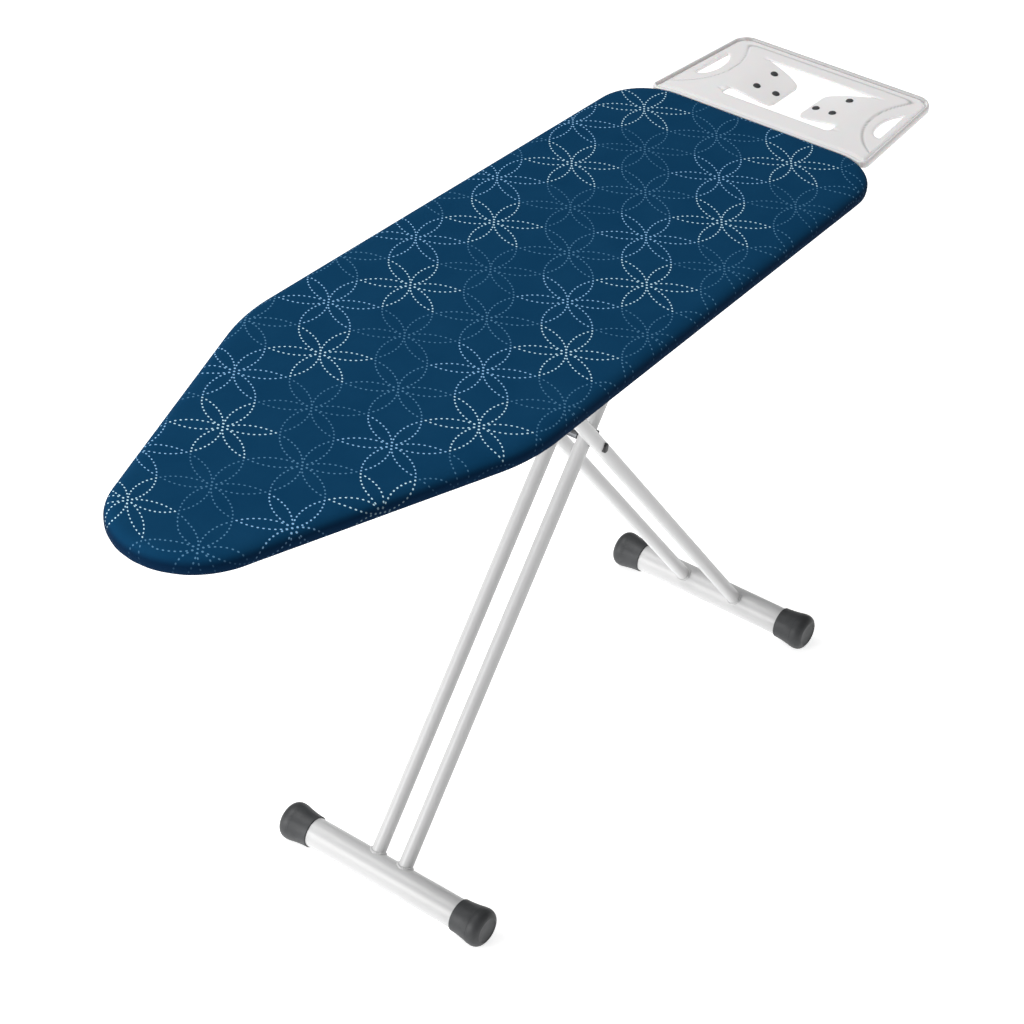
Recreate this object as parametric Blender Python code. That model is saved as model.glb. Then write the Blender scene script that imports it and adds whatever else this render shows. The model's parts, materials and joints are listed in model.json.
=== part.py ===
"""Folding ironing board with a padded cotton cover, crossed tube legs and an iron rest.

Metres, +Z up. The floor is z = 0 and the origin is under the middle of the object.
+X runs from the nose of the board to the iron rest, +Y is the far long side.

How it folds: the front legs hinge on a fixed bracket under the board, the rear legs hinge on
the front legs where the two pairs cross, and the rear legs' top rod slides in two guide rails.
The tube lengths above the crossing are equal, and so are those below it, so the rod stays at
one height under the board and the board stays level.
"""
import math

import bmesh
import bpy
from mathutils import Matrix, Vector

# ---- driving dimensions ----
BOARD_LENGTH = 1.196
BOARD_WIDTH = 0.440
BOARD_TOP = 0.820            # height of the ironing surface
BOARD_DEPTH = 0.025          # cover, pad, panel and rim together
NOSE_RADIUS = 0.103
SHOULDER_FROM_NOSE = 0.412   # where the nose taper meets the long side
SHOULDER_RADIUS = 0.250
REAR_CORNER_RADIUS = 0.077
SIDE_TAPER = 0.0194          # each long side draws in by this much per metre, towards the rear
REST_LENGTH = 0.200          # iron rest beyond the rear edge
CLEARANCE = 0.0003

LEG_RADIUS = 0.010
LEG_WALL = 0.0012
FRONT_LEG_Y = 0.0230         # the front pair runs inside
REAR_LEG_Y = 0.0458          # the rear pair runs outside it
FOOT_RADIUS = 0.021
FOOT_WALL = 0.0012
FOOT_HALF_WIDTH = 0.1215     # bare tube between the rubber caps
CAP_RADIUS = 0.027
CAP_LENGTH = 0.0490
CAP_SOCKET = 0.040
CAP_SIDES = 24               # a side, not an edge, stands on the floor
FEET_SPREAD = 0.770          # between the two foot tubes' axes
CROSSING_X = 0.092           # the pivot, midway between the feet
CROSSING_Z = 0.5305
TOP_AXLE_DROP = 0.030        # from the ironing surface to both top axles
FOLD_TRAVEL = math.radians(50.0)
RAISE_TRAVEL = math.radians(12.0)

# ---- layers of the board, from the top down ----
COVER_SKIN = 0.0012
PAD_DEPTH = 0.0070
PANEL_DEPTH = 0.0012
PANEL_TOP = BOARD_TOP - COVER_SKIN - PAD_DEPTH - 2 * CLEARANCE
PANEL_UNDER = PANEL_TOP - PANEL_DEPTH
UNDER = PANEL_UNDER - CLEARANCE          # what hangs from the panel starts here
COVER_BOTTOM = BOARD_TOP - BOARD_DEPTH
RIM_BOTTOM = COVER_BOTTOM + COVER_SKIN + CLEARANCE

# ---- places worked out from the driving dimensions ----
NOSE_X = -(BOARD_LENGTH + REST_LENGTH) / 2
REAR_X = NOSE_X + BOARD_LENGTH
FOOT_Z = CAP_RADIUS
AXLE_Z = BOARD_TOP - TOP_AXLE_DROP
LEG_ANGLE = math.atan2(CROSSING_Z - FOOT_Z, FEET_SPREAD / 2)
UPPER_LENGTH = (AXLE_Z - CROSSING_Z) / math.sin(LEG_ANGLE)
UPPER_REACH = UPPER_LENGTH * math.cos(LEG_ANGLE)
FRONT_FOOT_X = CROSSING_X - FEET_SPREAD / 2
REAR_FOOT_X = CROSSING_X + FEET_SPREAD / 2
HINGE_X = CROSSING_X + UPPER_REACH       # front legs' top axle, fixed under the board
SLIDE_X = CROSSING_X - UPPER_REACH       # rear legs' top rod, at rest
SLIDE_X_FOLDED = HINGE_X - 2 * UPPER_LENGTH * math.cos(LEG_ANGLE - FOLD_TRAVEL)
SLIDE_X_RAISED = HINGE_X - 2 * UPPER_LENGTH * math.cos(LEG_ANGLE + RAISE_TRAVEL)

# ---- hardware ----
AXLE_RADIUS = 0.005
PIVOT_RADIUS = 0.004
SLEEVE_RADIUS = 0.0054
SPACER_RADIUS = 0.0085
PIVOT_REACH = 0.0515         # half the pivot bolt's length
TUBE_PAST_AXLE = 0.011       # leg tube above the top axle
BRACKET_HALF = 0.0390        # leg bracket, outside its ears
BRACKET_WALL = 0.0028
ROD_REACH = 0.0775           # half the sliding rod's length
SHOE_INNER_Y = 0.0645
SHOE_OUTER_Y = 0.0790
LEVER_X = -0.0465            # the release handle's place from the sliding rod
LEVER_DROP = 0.028
RAIL_INNER_Y = 0.062
RAIL_WEB_Y = 0.080
RAIL_WALL = 0.0015
RAIL_HALF_GAP = 0.0088
LOCK_ROD_RADIUS = 0.004
LOCK_ROD_RISE = 0.0115
REST_TOP = BOARD_TOP - 0.006
REST_SHEET = 0.0026
PADDLE_SLOPE = 0.154

for old in list(bpy.data.objects):
    bpy.data.objects.remove(old, do_unlink=True)


# ---------------------------------------------------------------- materials and helpers
def material(name, colour, roughness, metallic=0.0):
    mat = bpy.data.materials.new(name)
    mat.use_nodes = True
    shader = mat.node_tree.nodes["Principled BSDF"]
    shader.inputs["Base Color"].default_value = (*colour, 1.0)
    shader.inputs["Roughness"].default_value = roughness
    shader.inputs["Metallic"].default_value = metallic
    return mat


COTTON = material("blue_cotton", (0.012, 0.047, 0.110), 0.85)
FOAM = material("white_foam", (0.80, 0.80, 0.76), 0.90)
WHITE_PAINT = material("white_paint", (0.78, 0.78, 0.78), 0.30)
GREY_STEEL = material("zinc_plated_steel", (0.55, 0.56, 0.58), 0.35, 1.0)
BLACK_RUBBER = material("black_rubber", (0.030, 0.031, 0.034), 0.60)
BLACK_PLASTIC = material("black_plastic", (0.020, 0.020, 0.022), 0.45)
WHITE_PLASTIC = material("white_plastic", (0.80, 0.80, 0.80), 0.35)


def add_object(name, bm, mat, smooth_angle=35.0):
    """Make one named object from a bmesh, with outward faces and its own material slot."""
    bmesh.ops.remove_doubles(bm, verts=bm.verts, dist=1e-6)
    bmesh.ops.recalc_face_normals(bm, faces=bm.faces)
    mesh = bpy.data.meshes.new(name)
    bm.to_mesh(mesh)
    bm.free()
    mesh.shade_smooth()
    mesh.set_sharp_from_angle(angle=math.radians(smooth_angle))
    mesh.materials.append(mat)
    obj = bpy.data.objects.new(name, mesh)
    bpy.context.scene.collection.objects.link(obj)
    return obj


def loft(name, rings, mat, closed=False):
    """Join rings of equal point counts; cap the first and last, or join them when closed."""
    bm = bmesh.new()
    loops = [[bm.verts.new(point) for point in ring] for ring in rings]
    pairs = list(zip(loops, loops[1:]))
    if closed:
        pairs.append((loops[-1], loops[0]))
    for low, high in pairs:
        for i in range(len(low)):
            j = (i + 1) % len(low)
            bm.faces.new((low[i], low[j], high[j], high[i]))
    if not closed:
        bm.faces.new(loops[0])
        bm.faces.new(loops[-1])
    return add_object(name, bm, mat)


def extrude_profile(name, profile, axis, low, high, mat):
    """Extrude a closed 2D profile along X, Y or Z; its points are the other two coordinates."""
    if axis == "X":
        rings = [[Vector((end, a, b)) for a, b in profile] for end in (low, high)]
    elif axis == "Y":
        rings = [[Vector((a, end, b)) for a, b in profile] for end in (low, high)]
    else:
        rings = [[Vector((a, b, end)) for a, b in profile] for end in (low, high)]
    return loft(name, rings, mat)


def circle(centre, direction, radius, segments, facet_down=False):
    """Points of a circle around a direction; facet_down puts the middle of a side underneath."""
    direction = Vector(direction).normalized()
    across = Vector((0, 0, 1)) if abs(direction.z) < 0.9 else Vector((1, 0, 0))
    u = (across - direction * across.dot(direction)).normalized()
    v = direction.cross(u)
    start = math.pi / segments if facet_down else 0.0
    return [
        Vector(centre) + radius * (math.cos(start + math.tau * i / segments) * u
                                   + math.sin(start + math.tau * i / segments) * v)
        for i in range(segments)
    ]


def turned(name, base, direction, profile, mat, segments=24, closed=False, facet_down=False):
    """Turn a profile of (radius, distance along the axis) about an axis through base."""
    base = Vector(base)
    direction = Vector(direction).normalized()
    scale = 1 / math.cos(math.pi / segments) if facet_down else 1.0
    rings = [
        circle(base + direction * along, direction, radius * scale, segments, facet_down)
        for radius, along in profile
    ]
    return loft(name, rings, mat, closed)


def rod(name, start, end, radius, mat, segments=20):
    length = (Vector(end) - Vector(start)).length
    chamfer = min(radius * 0.2, 0.0006)
    profile = [(radius - chamfer, 0), (radius, chamfer), (radius, length - chamfer),
               (radius - chamfer, length)]
    return turned(name, start, Vector(end) - Vector(start), profile, mat, segments)


def hollow_tube(name, start, end, radius, wall, mat, segments=20):
    length = (Vector(end) - Vector(start)).length
    profile = [(radius, 0), (radius, length), (radius - wall, length), (radius - wall, 0)]
    return turned(name, start, Vector(end) - Vector(start), profile, mat, segments, closed=True)


def cutter(name, start, end, radius, segments=16):
    tool = rod(name, start, end, radius, GREY_STEEL, segments)
    tool.hide_render = True
    tool.display_type = "WIRE"
    return tool


def boolean(obj, tool, operation="DIFFERENCE"):
    mod = obj.modifiers.new(tool.name, "BOOLEAN")
    mod.operation = operation
    mod.object = tool
    tool.hide_render = True
    tool.display_type = "WIRE"


def cross_hole(obj, x, z, radius, low=-0.1, high=0.1):
    """Drill a hole along Y through an object."""
    name = "%s_hole_%d" % (obj.name, len(obj.modifiers))
    boolean(obj, cutter(name, (x, low, z), (x, high, z), radius))


def hang_on_axis(name, point, prefixes):
    """Parent a moving body's pieces, where they are, to an empty on their joint's axis."""
    axis = bpy.data.objects.new(name, None)
    axis.location = point
    bpy.context.scene.collection.objects.link(axis)
    for obj in bpy.data.objects:
        if obj.name.startswith(prefixes) and not obj.hide_render and obj != axis:
            obj.parent = axis
            obj.matrix_parent_inverse = Matrix.Translation(-Vector(point))


def mirrored_sides():
    return (("left", 1), ("right", -1))


# ---------------------------------------------------------------- the board's outline
def arc(centre, radius, start, end, steps):
    return [
        (centre[0] + radius * math.cos(start + (end - start) * i / steps),
         centre[1] + radius * math.sin(start + (end - start) * i / steps))
        for i in range(steps + 1)
    ]


def fillet(before, corner, after, radius, steps):
    """Round a corner with an arc that touches both sides."""
    corner = Vector(corner)
    u = (Vector(before) - corner).normalized()
    v = (Vector(after) - corner).normalized()
    half = math.acos(max(-1.0, min(1.0, u.dot(v)))) / 2
    centre = corner + (u + v).normalized() * (radius / math.sin(half))
    first = corner + u * (radius / math.tan(half)) - centre
    last = corner + v * (radius / math.tan(half)) - centre
    start = math.atan2(first.y, first.x)
    sweep = math.atan2(last.y, last.x) - start
    sweep = (sweep + math.pi) % math.tau - math.pi
    return arc(centre, radius, start, start + sweep, steps)


def board_outline(inset):
    """The board seen from above, anticlockwise, drawn in by an inset."""
    half = BOARD_WIDTH / 2 - inset
    rear = REAR_X - inset
    nose_radius = NOSE_RADIUS - inset
    nose = (NOSE_X + NOSE_RADIUS, 0.0)
    shoulder = (NOSE_X + SHOULDER_FROM_NOSE, half)
    corner = (rear, half - SIDE_TAPER * (rear - shoulder[0]))
    to_shoulder = Vector(shoulder) - Vector(nose)
    touch = math.atan2(to_shoulder.y, to_shoulder.x) + math.acos(nose_radius / to_shoulder.length)
    nose_arc = arc(nose, nose_radius, math.pi, touch, 9)
    upper = nose_arc[1:]
    upper += fillet(nose_arc[-1], shoulder, corner, SHOULDER_RADIUS - inset, 6)
    upper += fillet(shoulder, corner, (rear, 0), REAR_CORNER_RADIUS - inset, 8)
    lower = [(x, -y) for x, y in upper]
    return [nose_arc[0]] + lower + upper[::-1]


def outline_ring(inset, z):
    return [Vector((x, y, z)) for x, y in board_outline(inset)]


# ---------------------------------------------------------------- board, pad and cover
def make_panel():
    rings = [outline_ring(0.003, z) for z in (PANEL_UNDER, PANEL_TOP)]
    loft("board_panel", rings, WHITE_PAINT)


def make_rim():
    """Steel edge frame that follows the outline under the panel, its lower outer corner cut off."""
    corners = ((0.0085, RIM_BOTTOM), (0.0170, RIM_BOTTOM), (0.0170, UNDER), (0.0034, UNDER),
               (0.0034, RIM_BOTTOM + 0.0045))
    loft("board_rim", [outline_ring(inset, z) for inset, z in corners], WHITE_PAINT, closed=True)


def make_pad():
    bottom = PANEL_TOP + CLEARANCE
    top = BOARD_TOP - COVER_SKIN - CLEARANCE
    section = ((0.0022, bottom), (0.0022, bottom + 0.0004), (0.0042, top - 0.0038),
               (0.0078, top - 0.0013), (0.0140, top))
    loft("foam_pad", [outline_ring(inset, z) for inset, z in section], FOAM)


def make_cover():
    """Fitted cotton cover: flat top, rounded edge, side wall and a hem turned in below."""
    top = BOARD_TOP
    bottom = COVER_BOTTOM
    skin = COVER_SKIN
    outer = [(0.0120, top), (0.0060, top - 0.0012), (0.0022, top - 0.0040), (0.0, top - 0.0090),
             (0.0, bottom + 0.0060), (0.0015, bottom + 0.0020), (0.0050, bottom)]
    inner = [(0.0065, bottom + skin), (0.0027, bottom + 0.0030), (0.0012, bottom + 0.0062),
             (0.0012, top - 0.0095), (0.0034, top - 0.0049), (0.0068, top - 0.0023),
             (0.0125, top - skin)]
    hem = [(0.0300, bottom), (0.0300, bottom + skin)]
    loft("cotton_cover", [outline_ring(inset, z) for inset, z in outer + hem + inner], COTTON)


def make_braces():
    """Two strips across the underside of the panel, between the rim's long sides."""
    for name, x, reach in (("panel_brace_front", NOSE_X + 0.250, 0.130),
                           ("panel_brace_rear", REAR_X - 0.145, 0.190)):
        profile = [(x - 0.012, UNDER - 0.0018), (x + 0.012, UNDER - 0.0018),
                   (x + 0.012, UNDER), (x - 0.012, UNDER)]
        extrude_profile(name, profile, "Y", -reach, reach, WHITE_PAINT)


# ---------------------------------------------------------------- what the legs hang from
def make_guide_rails():
    """C-shaped rails, open towards the middle, hung from the panel by a flange."""
    inside = RAIL_HALF_GAP
    outside = RAIL_HALF_GAP + RAIL_WALL
    web = RAIL_WEB_Y
    flange = RAIL_WEB_Y + 0.016
    for side, sign in mirrored_sides():
        section = [
            (RAIL_INNER_Y, AXLE_Z - outside), (web + RAIL_WALL, AXLE_Z - outside),
            (web + RAIL_WALL, UNDER - RAIL_WALL), (flange, UNDER - RAIL_WALL), (flange, UNDER),
            (web, UNDER), (web, AXLE_Z + outside), (RAIL_INNER_Y, AXLE_Z + outside),
            (RAIL_INNER_Y, AXLE_Z + inside), (web, AXLE_Z + inside), (web, AXLE_Z - inside),
            (RAIL_INNER_Y, AXLE_Z - inside),
        ]
        profile = [(sign * y, z) for y, z in section]
        extrude_profile("guide_rail_" + side, profile, "X", SLIDE_X_FOLDED - 0.028,
                        SLIDE_X_RAISED + 0.028, WHITE_PAINT)


def make_lock_rod():
    """Smooth rod that the release plate grips, held at both ends by drop brackets."""
    ends = (SLIDE_X_FOLDED - 0.056, SLIDE_X_RAISED + 0.040)
    z = AXLE_Z + LOCK_ROD_RISE
    rod("lock_rod", (ends[0] - 0.006, 0, z), (ends[1] + 0.006, 0, z), LOCK_ROD_RADIUS, GREY_STEEL, 16)
    for name, x in zip(("lock_rod_bracket_front", "lock_rod_bracket_rear"), ends):
        toe = 0.014 if x == ends[1] else -0.014
        heel = x - math.copysign(0.0015, toe)
        face = x + math.copysign(0.0015, toe)
        profile = [(heel, AXLE_Z + 0.004), (face, AXLE_Z + 0.004), (face, UNDER - 0.002),
                   (x + toe, UNDER - 0.002), (x + toe, UNDER), (heel, UNDER)]
        bracket = extrude_profile(name, profile, "Y", -0.011, 0.011, WHITE_PAINT)
        boolean(bracket, cutter(name + "_hole", (x - 0.02, 0, z), (x + 0.02, 0, z),
                                LOCK_ROD_RADIUS + CLEARANCE, 16))


def make_leg_bracket():
    """U-shaped bracket under the panel, with the front legs' hinge pin through its ears."""
    outer, inner = BRACKET_HALF, BRACKET_HALF - BRACKET_WALL
    section = [(-outer, AXLE_Z - 0.010), (-inner, AXLE_Z - 0.010), (-inner, UNDER - 0.0025),
               (inner, UNDER - 0.0025), (inner, AXLE_Z - 0.010), (outer, AXLE_Z - 0.010),
               (outer, UNDER), (-outer, UNDER)]
    bracket = extrude_profile("leg_bracket", section, "X", HINGE_X - 0.024, HINGE_X + 0.024,
                              WHITE_PAINT)
    cross_hole(bracket, HINGE_X, AXLE_Z, AXLE_RADIUS + CLEARANCE)
    pin_reach = BRACKET_HALF + 0.0022
    rod("leg_hinge_pin", (HINGE_X, -pin_reach, AXLE_Z), (HINGE_X, pin_reach, AXLE_Z), AXLE_RADIUS,
        GREY_STEEL, 20)
    for side, sign in mirrored_sides():
        profile = [(0.0078, 0.0), (0.0085, 0.0006), (0.0085, 0.0020), (0.0066, 0.0036),
                   (0.0020, 0.0040), (0.0020, 0.0027), (AXLE_RADIUS + CLEARANCE, 0.0027),
                   (AXLE_RADIUS + CLEARANCE, 0.0)]
        face = (HINGE_X, sign * (BRACKET_HALF + CLEARANCE), AXLE_Z)
        turned("leg_hinge_cap_" + side, face, (0, sign, 0), profile, BLACK_PLASTIC, 20, closed=True)


# ---------------------------------------------------------------- legs
def leg_point(foot_x, distance):
    """A point on a leg's centre line, at a distance up from its foot tube's axis."""
    toward = 1 if foot_x < CROSSING_X else -1
    return Vector((foot_x + toward * distance * math.cos(LEG_ANGLE), 0,
                   FOOT_Z + distance * math.sin(LEG_ANGLE)))


def make_legs(prefix, foot_x, leg_y):
    """One leg pair with its cross foot, end caps and the plugs in the tubes' upper ends."""
    to_axle = (AXLE_Z - FOOT_Z) / math.sin(LEG_ANGLE)
    length = to_axle + TUBE_PAST_AXLE
    start = leg_point(foot_x, 0)
    along = (leg_point(foot_x, 1) - start).normalized()
    end = leg_point(foot_x, length)
    top = leg_point(foot_x, to_axle)
    cope = cutter(prefix + "_cope", (foot_x, -0.2, FOOT_Z), (foot_x, 0.2, FOOT_Z),
                  FOOT_RADIUS + CLEARANCE, CAP_SIDES)
    for side, sign in mirrored_sides():
        offset = Vector((0, sign * leg_y, 0))
        name = prefix + "_leg_tube_" + side
        tube = hollow_tube(name, start + offset, end + offset, LEG_RADIUS, LEG_WALL, WHITE_PAINT)
        boolean(tube, cope)
        cross_hole(tube, CROSSING_X, CROSSING_Z, PIVOT_RADIUS + CLEARANCE)
        cross_hole(tube, top.x, top.z, AXLE_RADIUS + CLEARANCE)
        if prefix == "rear":
            low, high = sorted((sign * (leg_y + 0.0030), sign * (leg_y + 0.020)))
            cross_hole(tube, CROSSING_X, CROSSING_Z, 0.0075, low, high)
        bore = LEG_RADIUS - LEG_WALL - CLEARANCE
        profile = [(bore - 0.0005, -0.0040), (bore, -0.0032), (bore, CLEARANCE),
                   (LEG_RADIUS, CLEARANCE), (LEG_RADIUS, 0.0012), (LEG_RADIUS - 0.0012, 0.0020)]
        turned(prefix + "_leg_plug_" + side, end + offset, along, profile, BLACK_PLASTIC, 20)
    tube_end = FOOT_HALF_WIDTH + CAP_SOCKET - 0.0005
    hollow_tube(prefix + "_foot_tube", (foot_x, -tube_end, FOOT_Z), (foot_x, tube_end, FOOT_Z),
                FOOT_RADIUS, FOOT_WALL, WHITE_PAINT, CAP_SIDES)
    for side, sign in mirrored_sides():
        make_foot_cap(prefix + "_foot_cap_" + side, foot_x, sign)


def make_foot_cap(name, foot_x, sign):
    """Flared rubber cap; its widest band has a flat side that stands on the floor."""
    socket = FOOT_RADIUS + CLEARANCE
    profile = [
        (socket, CAP_SOCKET), (socket, 0.0), (0.0228, 0.0), (0.0232, 0.0090), (0.0249, 0.0255),
        (CAP_RADIUS, 0.0325), (CAP_RADIUS, 0.0405), (0.0255, 0.0450), (0.0200, CAP_LENGTH),
        (0.0180, CAP_LENGTH - 0.0015),
    ]
    base = (foot_x, sign * FOOT_HALF_WIDTH, FOOT_Z)
    scale = 1 / math.cos(math.pi / CAP_SIDES)
    rings = []
    for radius, along in profile:
        factor = 1.0 if radius == socket else scale
        centre = Vector(base) + Vector((0, sign * along, 0))
        rings.append(circle(centre, (0, sign, 0), radius * factor, CAP_SIDES, facet_down=True))
    loft(name, rings, BLACK_RUBBER)


def make_pivot():
    """Bolt through both leg pairs where they cross, with its spacers and outer caps."""
    rod("pivot_bolt", (CROSSING_X, -PIVOT_REACH, CROSSING_Z),
        (CROSSING_X, PIVOT_REACH, CROSSING_Z), PIVOT_RADIUS, GREY_STEEL, 20)
    bore = PIVOT_RADIUS + CLEARANCE
    inner = FRONT_LEG_Y - LEG_RADIUS - CLEARANCE
    sleeve = [(SLEEVE_RADIUS, 0), (SLEEVE_RADIUS, 2 * inner), (bore, 2 * inner), (bore, 0)]
    turned("pivot_sleeve", (CROSSING_X, -inner, CROSSING_Z), (0, 1, 0), sleeve, GREY_STEEL, 20,
           closed=True)
    gap_start = FRONT_LEG_Y + LEG_RADIUS + CLEARANCE
    gap = REAR_LEG_Y - LEG_RADIUS - CLEARANCE - gap_start
    for side, sign in mirrored_sides():
        low, high = sorted((sign * gap_start, sign * (gap_start + gap)))
        spacer = extrude_profile("pivot_spacer_" + side, spacer_profile(), "Y", low, high,
                                 BLACK_PLASTIC)
        cross_hole(spacer, CROSSING_X, CROSSING_Z, bore, low - 0.01, high + 0.01)
        cap = [(bore, 0.0), (0.0070, 0.0), (0.0072, 0.0005), (0.0072, 0.0056),
               (0.0064, 0.0068), (0.0035, 0.0077), (0.0008, 0.0079), (0.0008, 0.0028),
               (bore, 0.0028)]
        seat = PIVOT_REACH - 0.0024
        turned("pivot_cap_" + side, (CROSSING_X, sign * seat, CROSSING_Z), (0, sign, 0), cap,
               BLACK_PLASTIC, 16, closed=True)


def spacer_profile():
    """A disc round the pivot with a lug that reaches past the rear leg's upper side."""
    square_to_leg = math.pi / 2 - LEG_ANGLE
    lug = (CROSSING_X + 0.0135 * math.cos(square_to_leg),
           CROSSING_Z + 0.0135 * math.sin(square_to_leg))
    disc = arc((CROSSING_X, CROSSING_Z), SPACER_RADIUS, square_to_leg + math.radians(70),
               square_to_leg + math.radians(290), 10)
    return disc + arc(lug, 0.0040, square_to_leg - math.radians(70),
                      square_to_leg + math.radians(70), 6)


# ---------------------------------------------------------------- sliding rod and release lever
def make_slider():
    """Rod through the rear legs' upper ends, with a plastic shoe at each end in its rail."""
    rod("slide_rod", (SLIDE_X, -ROD_REACH, AXLE_Z), (SLIDE_X, ROD_REACH, AXLE_Z), AXLE_RADIUS,
        GREY_STEEL)
    height = RAIL_HALF_GAP - 0.0008
    for side, sign in mirrored_sides():
        profile = [(SLIDE_X - 0.013, AXLE_Z - height + 0.002), (SLIDE_X - 0.011, AXLE_Z - height),
                   (SLIDE_X + 0.011, AXLE_Z - height), (SLIDE_X + 0.013, AXLE_Z - height + 0.002),
                   (SLIDE_X + 0.013, AXLE_Z + height - 0.002), (SLIDE_X + 0.011, AXLE_Z + height),
                   (SLIDE_X - 0.011, AXLE_Z + height), (SLIDE_X - 0.013, AXLE_Z + height - 0.002)]
        low, high = sorted((sign * SHOE_INNER_Y, sign * SHOE_OUTER_Y))
        shoe = extrude_profile("slide_shoe_" + side, profile, "Y", low, high, BLACK_PLASTIC)
        cross_hole(shoe, SLIDE_X, AXLE_Z, AXLE_RADIUS + CLEARANCE, low - 0.01, high + 0.01)


def make_release_lever():
    """Grip plate on the sliding rod, with the bent rod and handle that release it."""
    plate_y, half_plate = 0.0090, 0.0015
    plate = extrude_profile(
        "grip_plate", [(-plate_y, AXLE_Z - 0.006), (plate_y, AXLE_Z - 0.006),
                       (plate_y, AXLE_Z + 0.0175), (-plate_y, AXLE_Z + 0.0175)],
        "X", SLIDE_X - half_plate, SLIDE_X + half_plate, GREY_STEEL)
    hub = cutter("grip_plate_hub", (SLIDE_X, -plate_y - 0.0005, AXLE_Z),
                 (SLIDE_X, plate_y + 0.0005, AXLE_Z), 0.0085)
    boolean(plate, hub, "UNION")
    cross_hole(plate, SLIDE_X, AXLE_Z, AXLE_RADIUS + CLEARANCE)
    z = AXLE_Z + LOCK_ROD_RISE
    boolean(plate, cutter("grip_plate_bore", (SLIDE_X - 0.02, 0, z), (SLIDE_X + 0.02, 0, z),
                          0.0053, 16))

    route = [(-0.0089, 0.000, -0.001), (-0.0350, 0.000, -0.001), (-0.0430, 0.004, -0.001),
             (-0.0460, 0.014, -0.001), (LEVER_X, 0.034, -0.004), (LEVER_X, 0.050, -0.022),
             (LEVER_X, 0.058, -0.0265), (LEVER_X, 0.070, -LEVER_DROP),
             (LEVER_X, 0.172, -LEVER_DROP)]
    points = [Vector((SLIDE_X + x, y, AXLE_Z + z)) for x, y, z in smooth_route(route, 20)]
    wire("release_rod", points, 0.003, GREY_STEEL)
    grip_start = Vector((SLIDE_X + LEVER_X, 0.104, AXLE_Z - LEVER_DROP))
    profile = [(0.0050, 0.0), (0.0065, 0.0015), (0.0072, 0.0100), (0.0066, 0.0300),
               (0.0072, 0.0520), (0.0066, 0.0670), (0.0045, 0.0700), (0.0010, 0.0706),
               (0.0010, 0.0690), (0.0033, 0.0690), (0.0033, 0.0)]
    turned("release_handle", grip_start, (0, 1, 0), profile, BLACK_PLASTIC, 16, closed=True)

    turns, steps, coil_radius = 4, 10, 0.0072
    coil_start, coil_length = 0.0115, 0.0100
    coil = [
        Vector((SLIDE_X + coil_radius * math.sin(math.tau * i / steps),
                coil_start + coil_length * i / (turns * steps),
                AXLE_Z + coil_radius * math.cos(math.tau * i / steps)))
        for i in range(turns * steps + 1)
    ]
    wire("release_spring", coil, 0.0008, GREY_STEEL, 5)


def smooth_route(points, count):
    """Evenly spaced points on a smooth curve through the route's own points."""
    points = [Vector(p) for p in points]
    padded = [2 * points[0] - points[1]] + points + [2 * points[-1] - points[-2]]
    spans = len(points) - 1
    result = []
    for i in range(count + 1):
        place = spans * i / count
        k = min(int(place), spans - 1)
        t = place - k
        a, b, c, d = padded[k:k + 4]
        result.append(0.5 * ((2 * b) + (c - a) * t + (2 * a - 5 * b + 4 * c - d) * t ** 2
                             + (3 * b - a - 3 * c + d) * t ** 3))
    return result


def wire(name, points, radius, mat, segments=8):
    """Round bar along points, with rings turned to follow it and flat ends."""
    rings = []
    u = None
    for i, point in enumerate(points):
        before = points[max(i - 1, 0)]
        after = points[min(i + 1, len(points) - 1)]
        tangent = (after - before).normalized()
        if u is None:
            helper = Vector((0, 0, 1)) if abs(tangent.z) < 0.9 else Vector((1, 0, 0))
            u = helper - tangent * helper.dot(tangent)
        u = (u - tangent * u.dot(tangent)).normalized()
        v = tangent.cross(u)
        rings.append([point + radius * (math.cos(math.tau * k / segments) * u
                                        + math.sin(math.tau * k / segments) * v)
                      for k in range(segments)])
    return loft(name, rings, mat)


# ---------------------------------------------------------------- iron rest
REST_FRONT = REAR_X - 0.010  # the tray's front corners lie round the board's own corners
REST_REAR = REAR_X + REST_LENGTH
REST_HALF_FRONT = 0.173
REST_HALF_REAR = 0.156
REST_GAP = 0.0015            # between the tray's front edge and the cover
OPENING_FRONT = REAR_X + 0.0395
OPENING_REAR = REAR_X + 0.1605
OPENING_HALF = 0.086
SLOT_FRONT = REAR_X + 0.067
SLOT_REAR = REAR_X + 0.142
SLOT_IN = 0.0180             # from the tray's side to a hand slot's straight edge
SLOT_BOW = 0.0180            # from that edge to the middle of its curved one


def rest_half_width(x):
    share = (x - REST_FRONT) / (REST_REAR - REST_FRONT)
    return REST_HALF_FRONT + (REST_HALF_REAR - REST_HALF_FRONT) * share


def beside_board(y, gap):
    """How far along X a line lies that runs round the board's rear end at a gap."""
    centre_x = REAR_X - REAR_CORNER_RADIUS
    shoulder_x = NOSE_X + SHOULDER_FROM_NOSE
    centre_y = BOARD_WIDTH / 2 - SIDE_TAPER * (centre_x - shoulder_x) - REAR_CORNER_RADIUS
    reach = REAR_CORNER_RADIUS + gap
    past = max(0.0, abs(y) - centre_y)
    return centre_x + math.sqrt(reach ** 2 - past ** 2)


def rest_outline(inset):
    """The tray seen from above; its front edge follows the board's rear edge and corners."""
    gap = REST_GAP + inset
    half = REST_HALF_FRONT - inset
    ear = (beside_board(half, gap), half)
    rear = (REST_REAR - inset, REST_HALF_REAR - inset)
    upper = []
    for step in range(13):
        y = (half - 0.006) * step / 12
        upper.append((beside_board(y, gap), y))
    upper += fillet(upper[-1], ear, rear, 0.0030, 3)
    upper += fillet(ear, rear, (rear[0], 0), 0.026 - inset, 8)
    lower = [(x, -y) for x, y in upper[1:]]
    return [upper[0]] + lower + upper[:0:-1]


def paddle_height(y):
    return REST_TOP - PADDLE_SLOPE * max(0.0, OPENING_HALF - abs(y))


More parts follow.
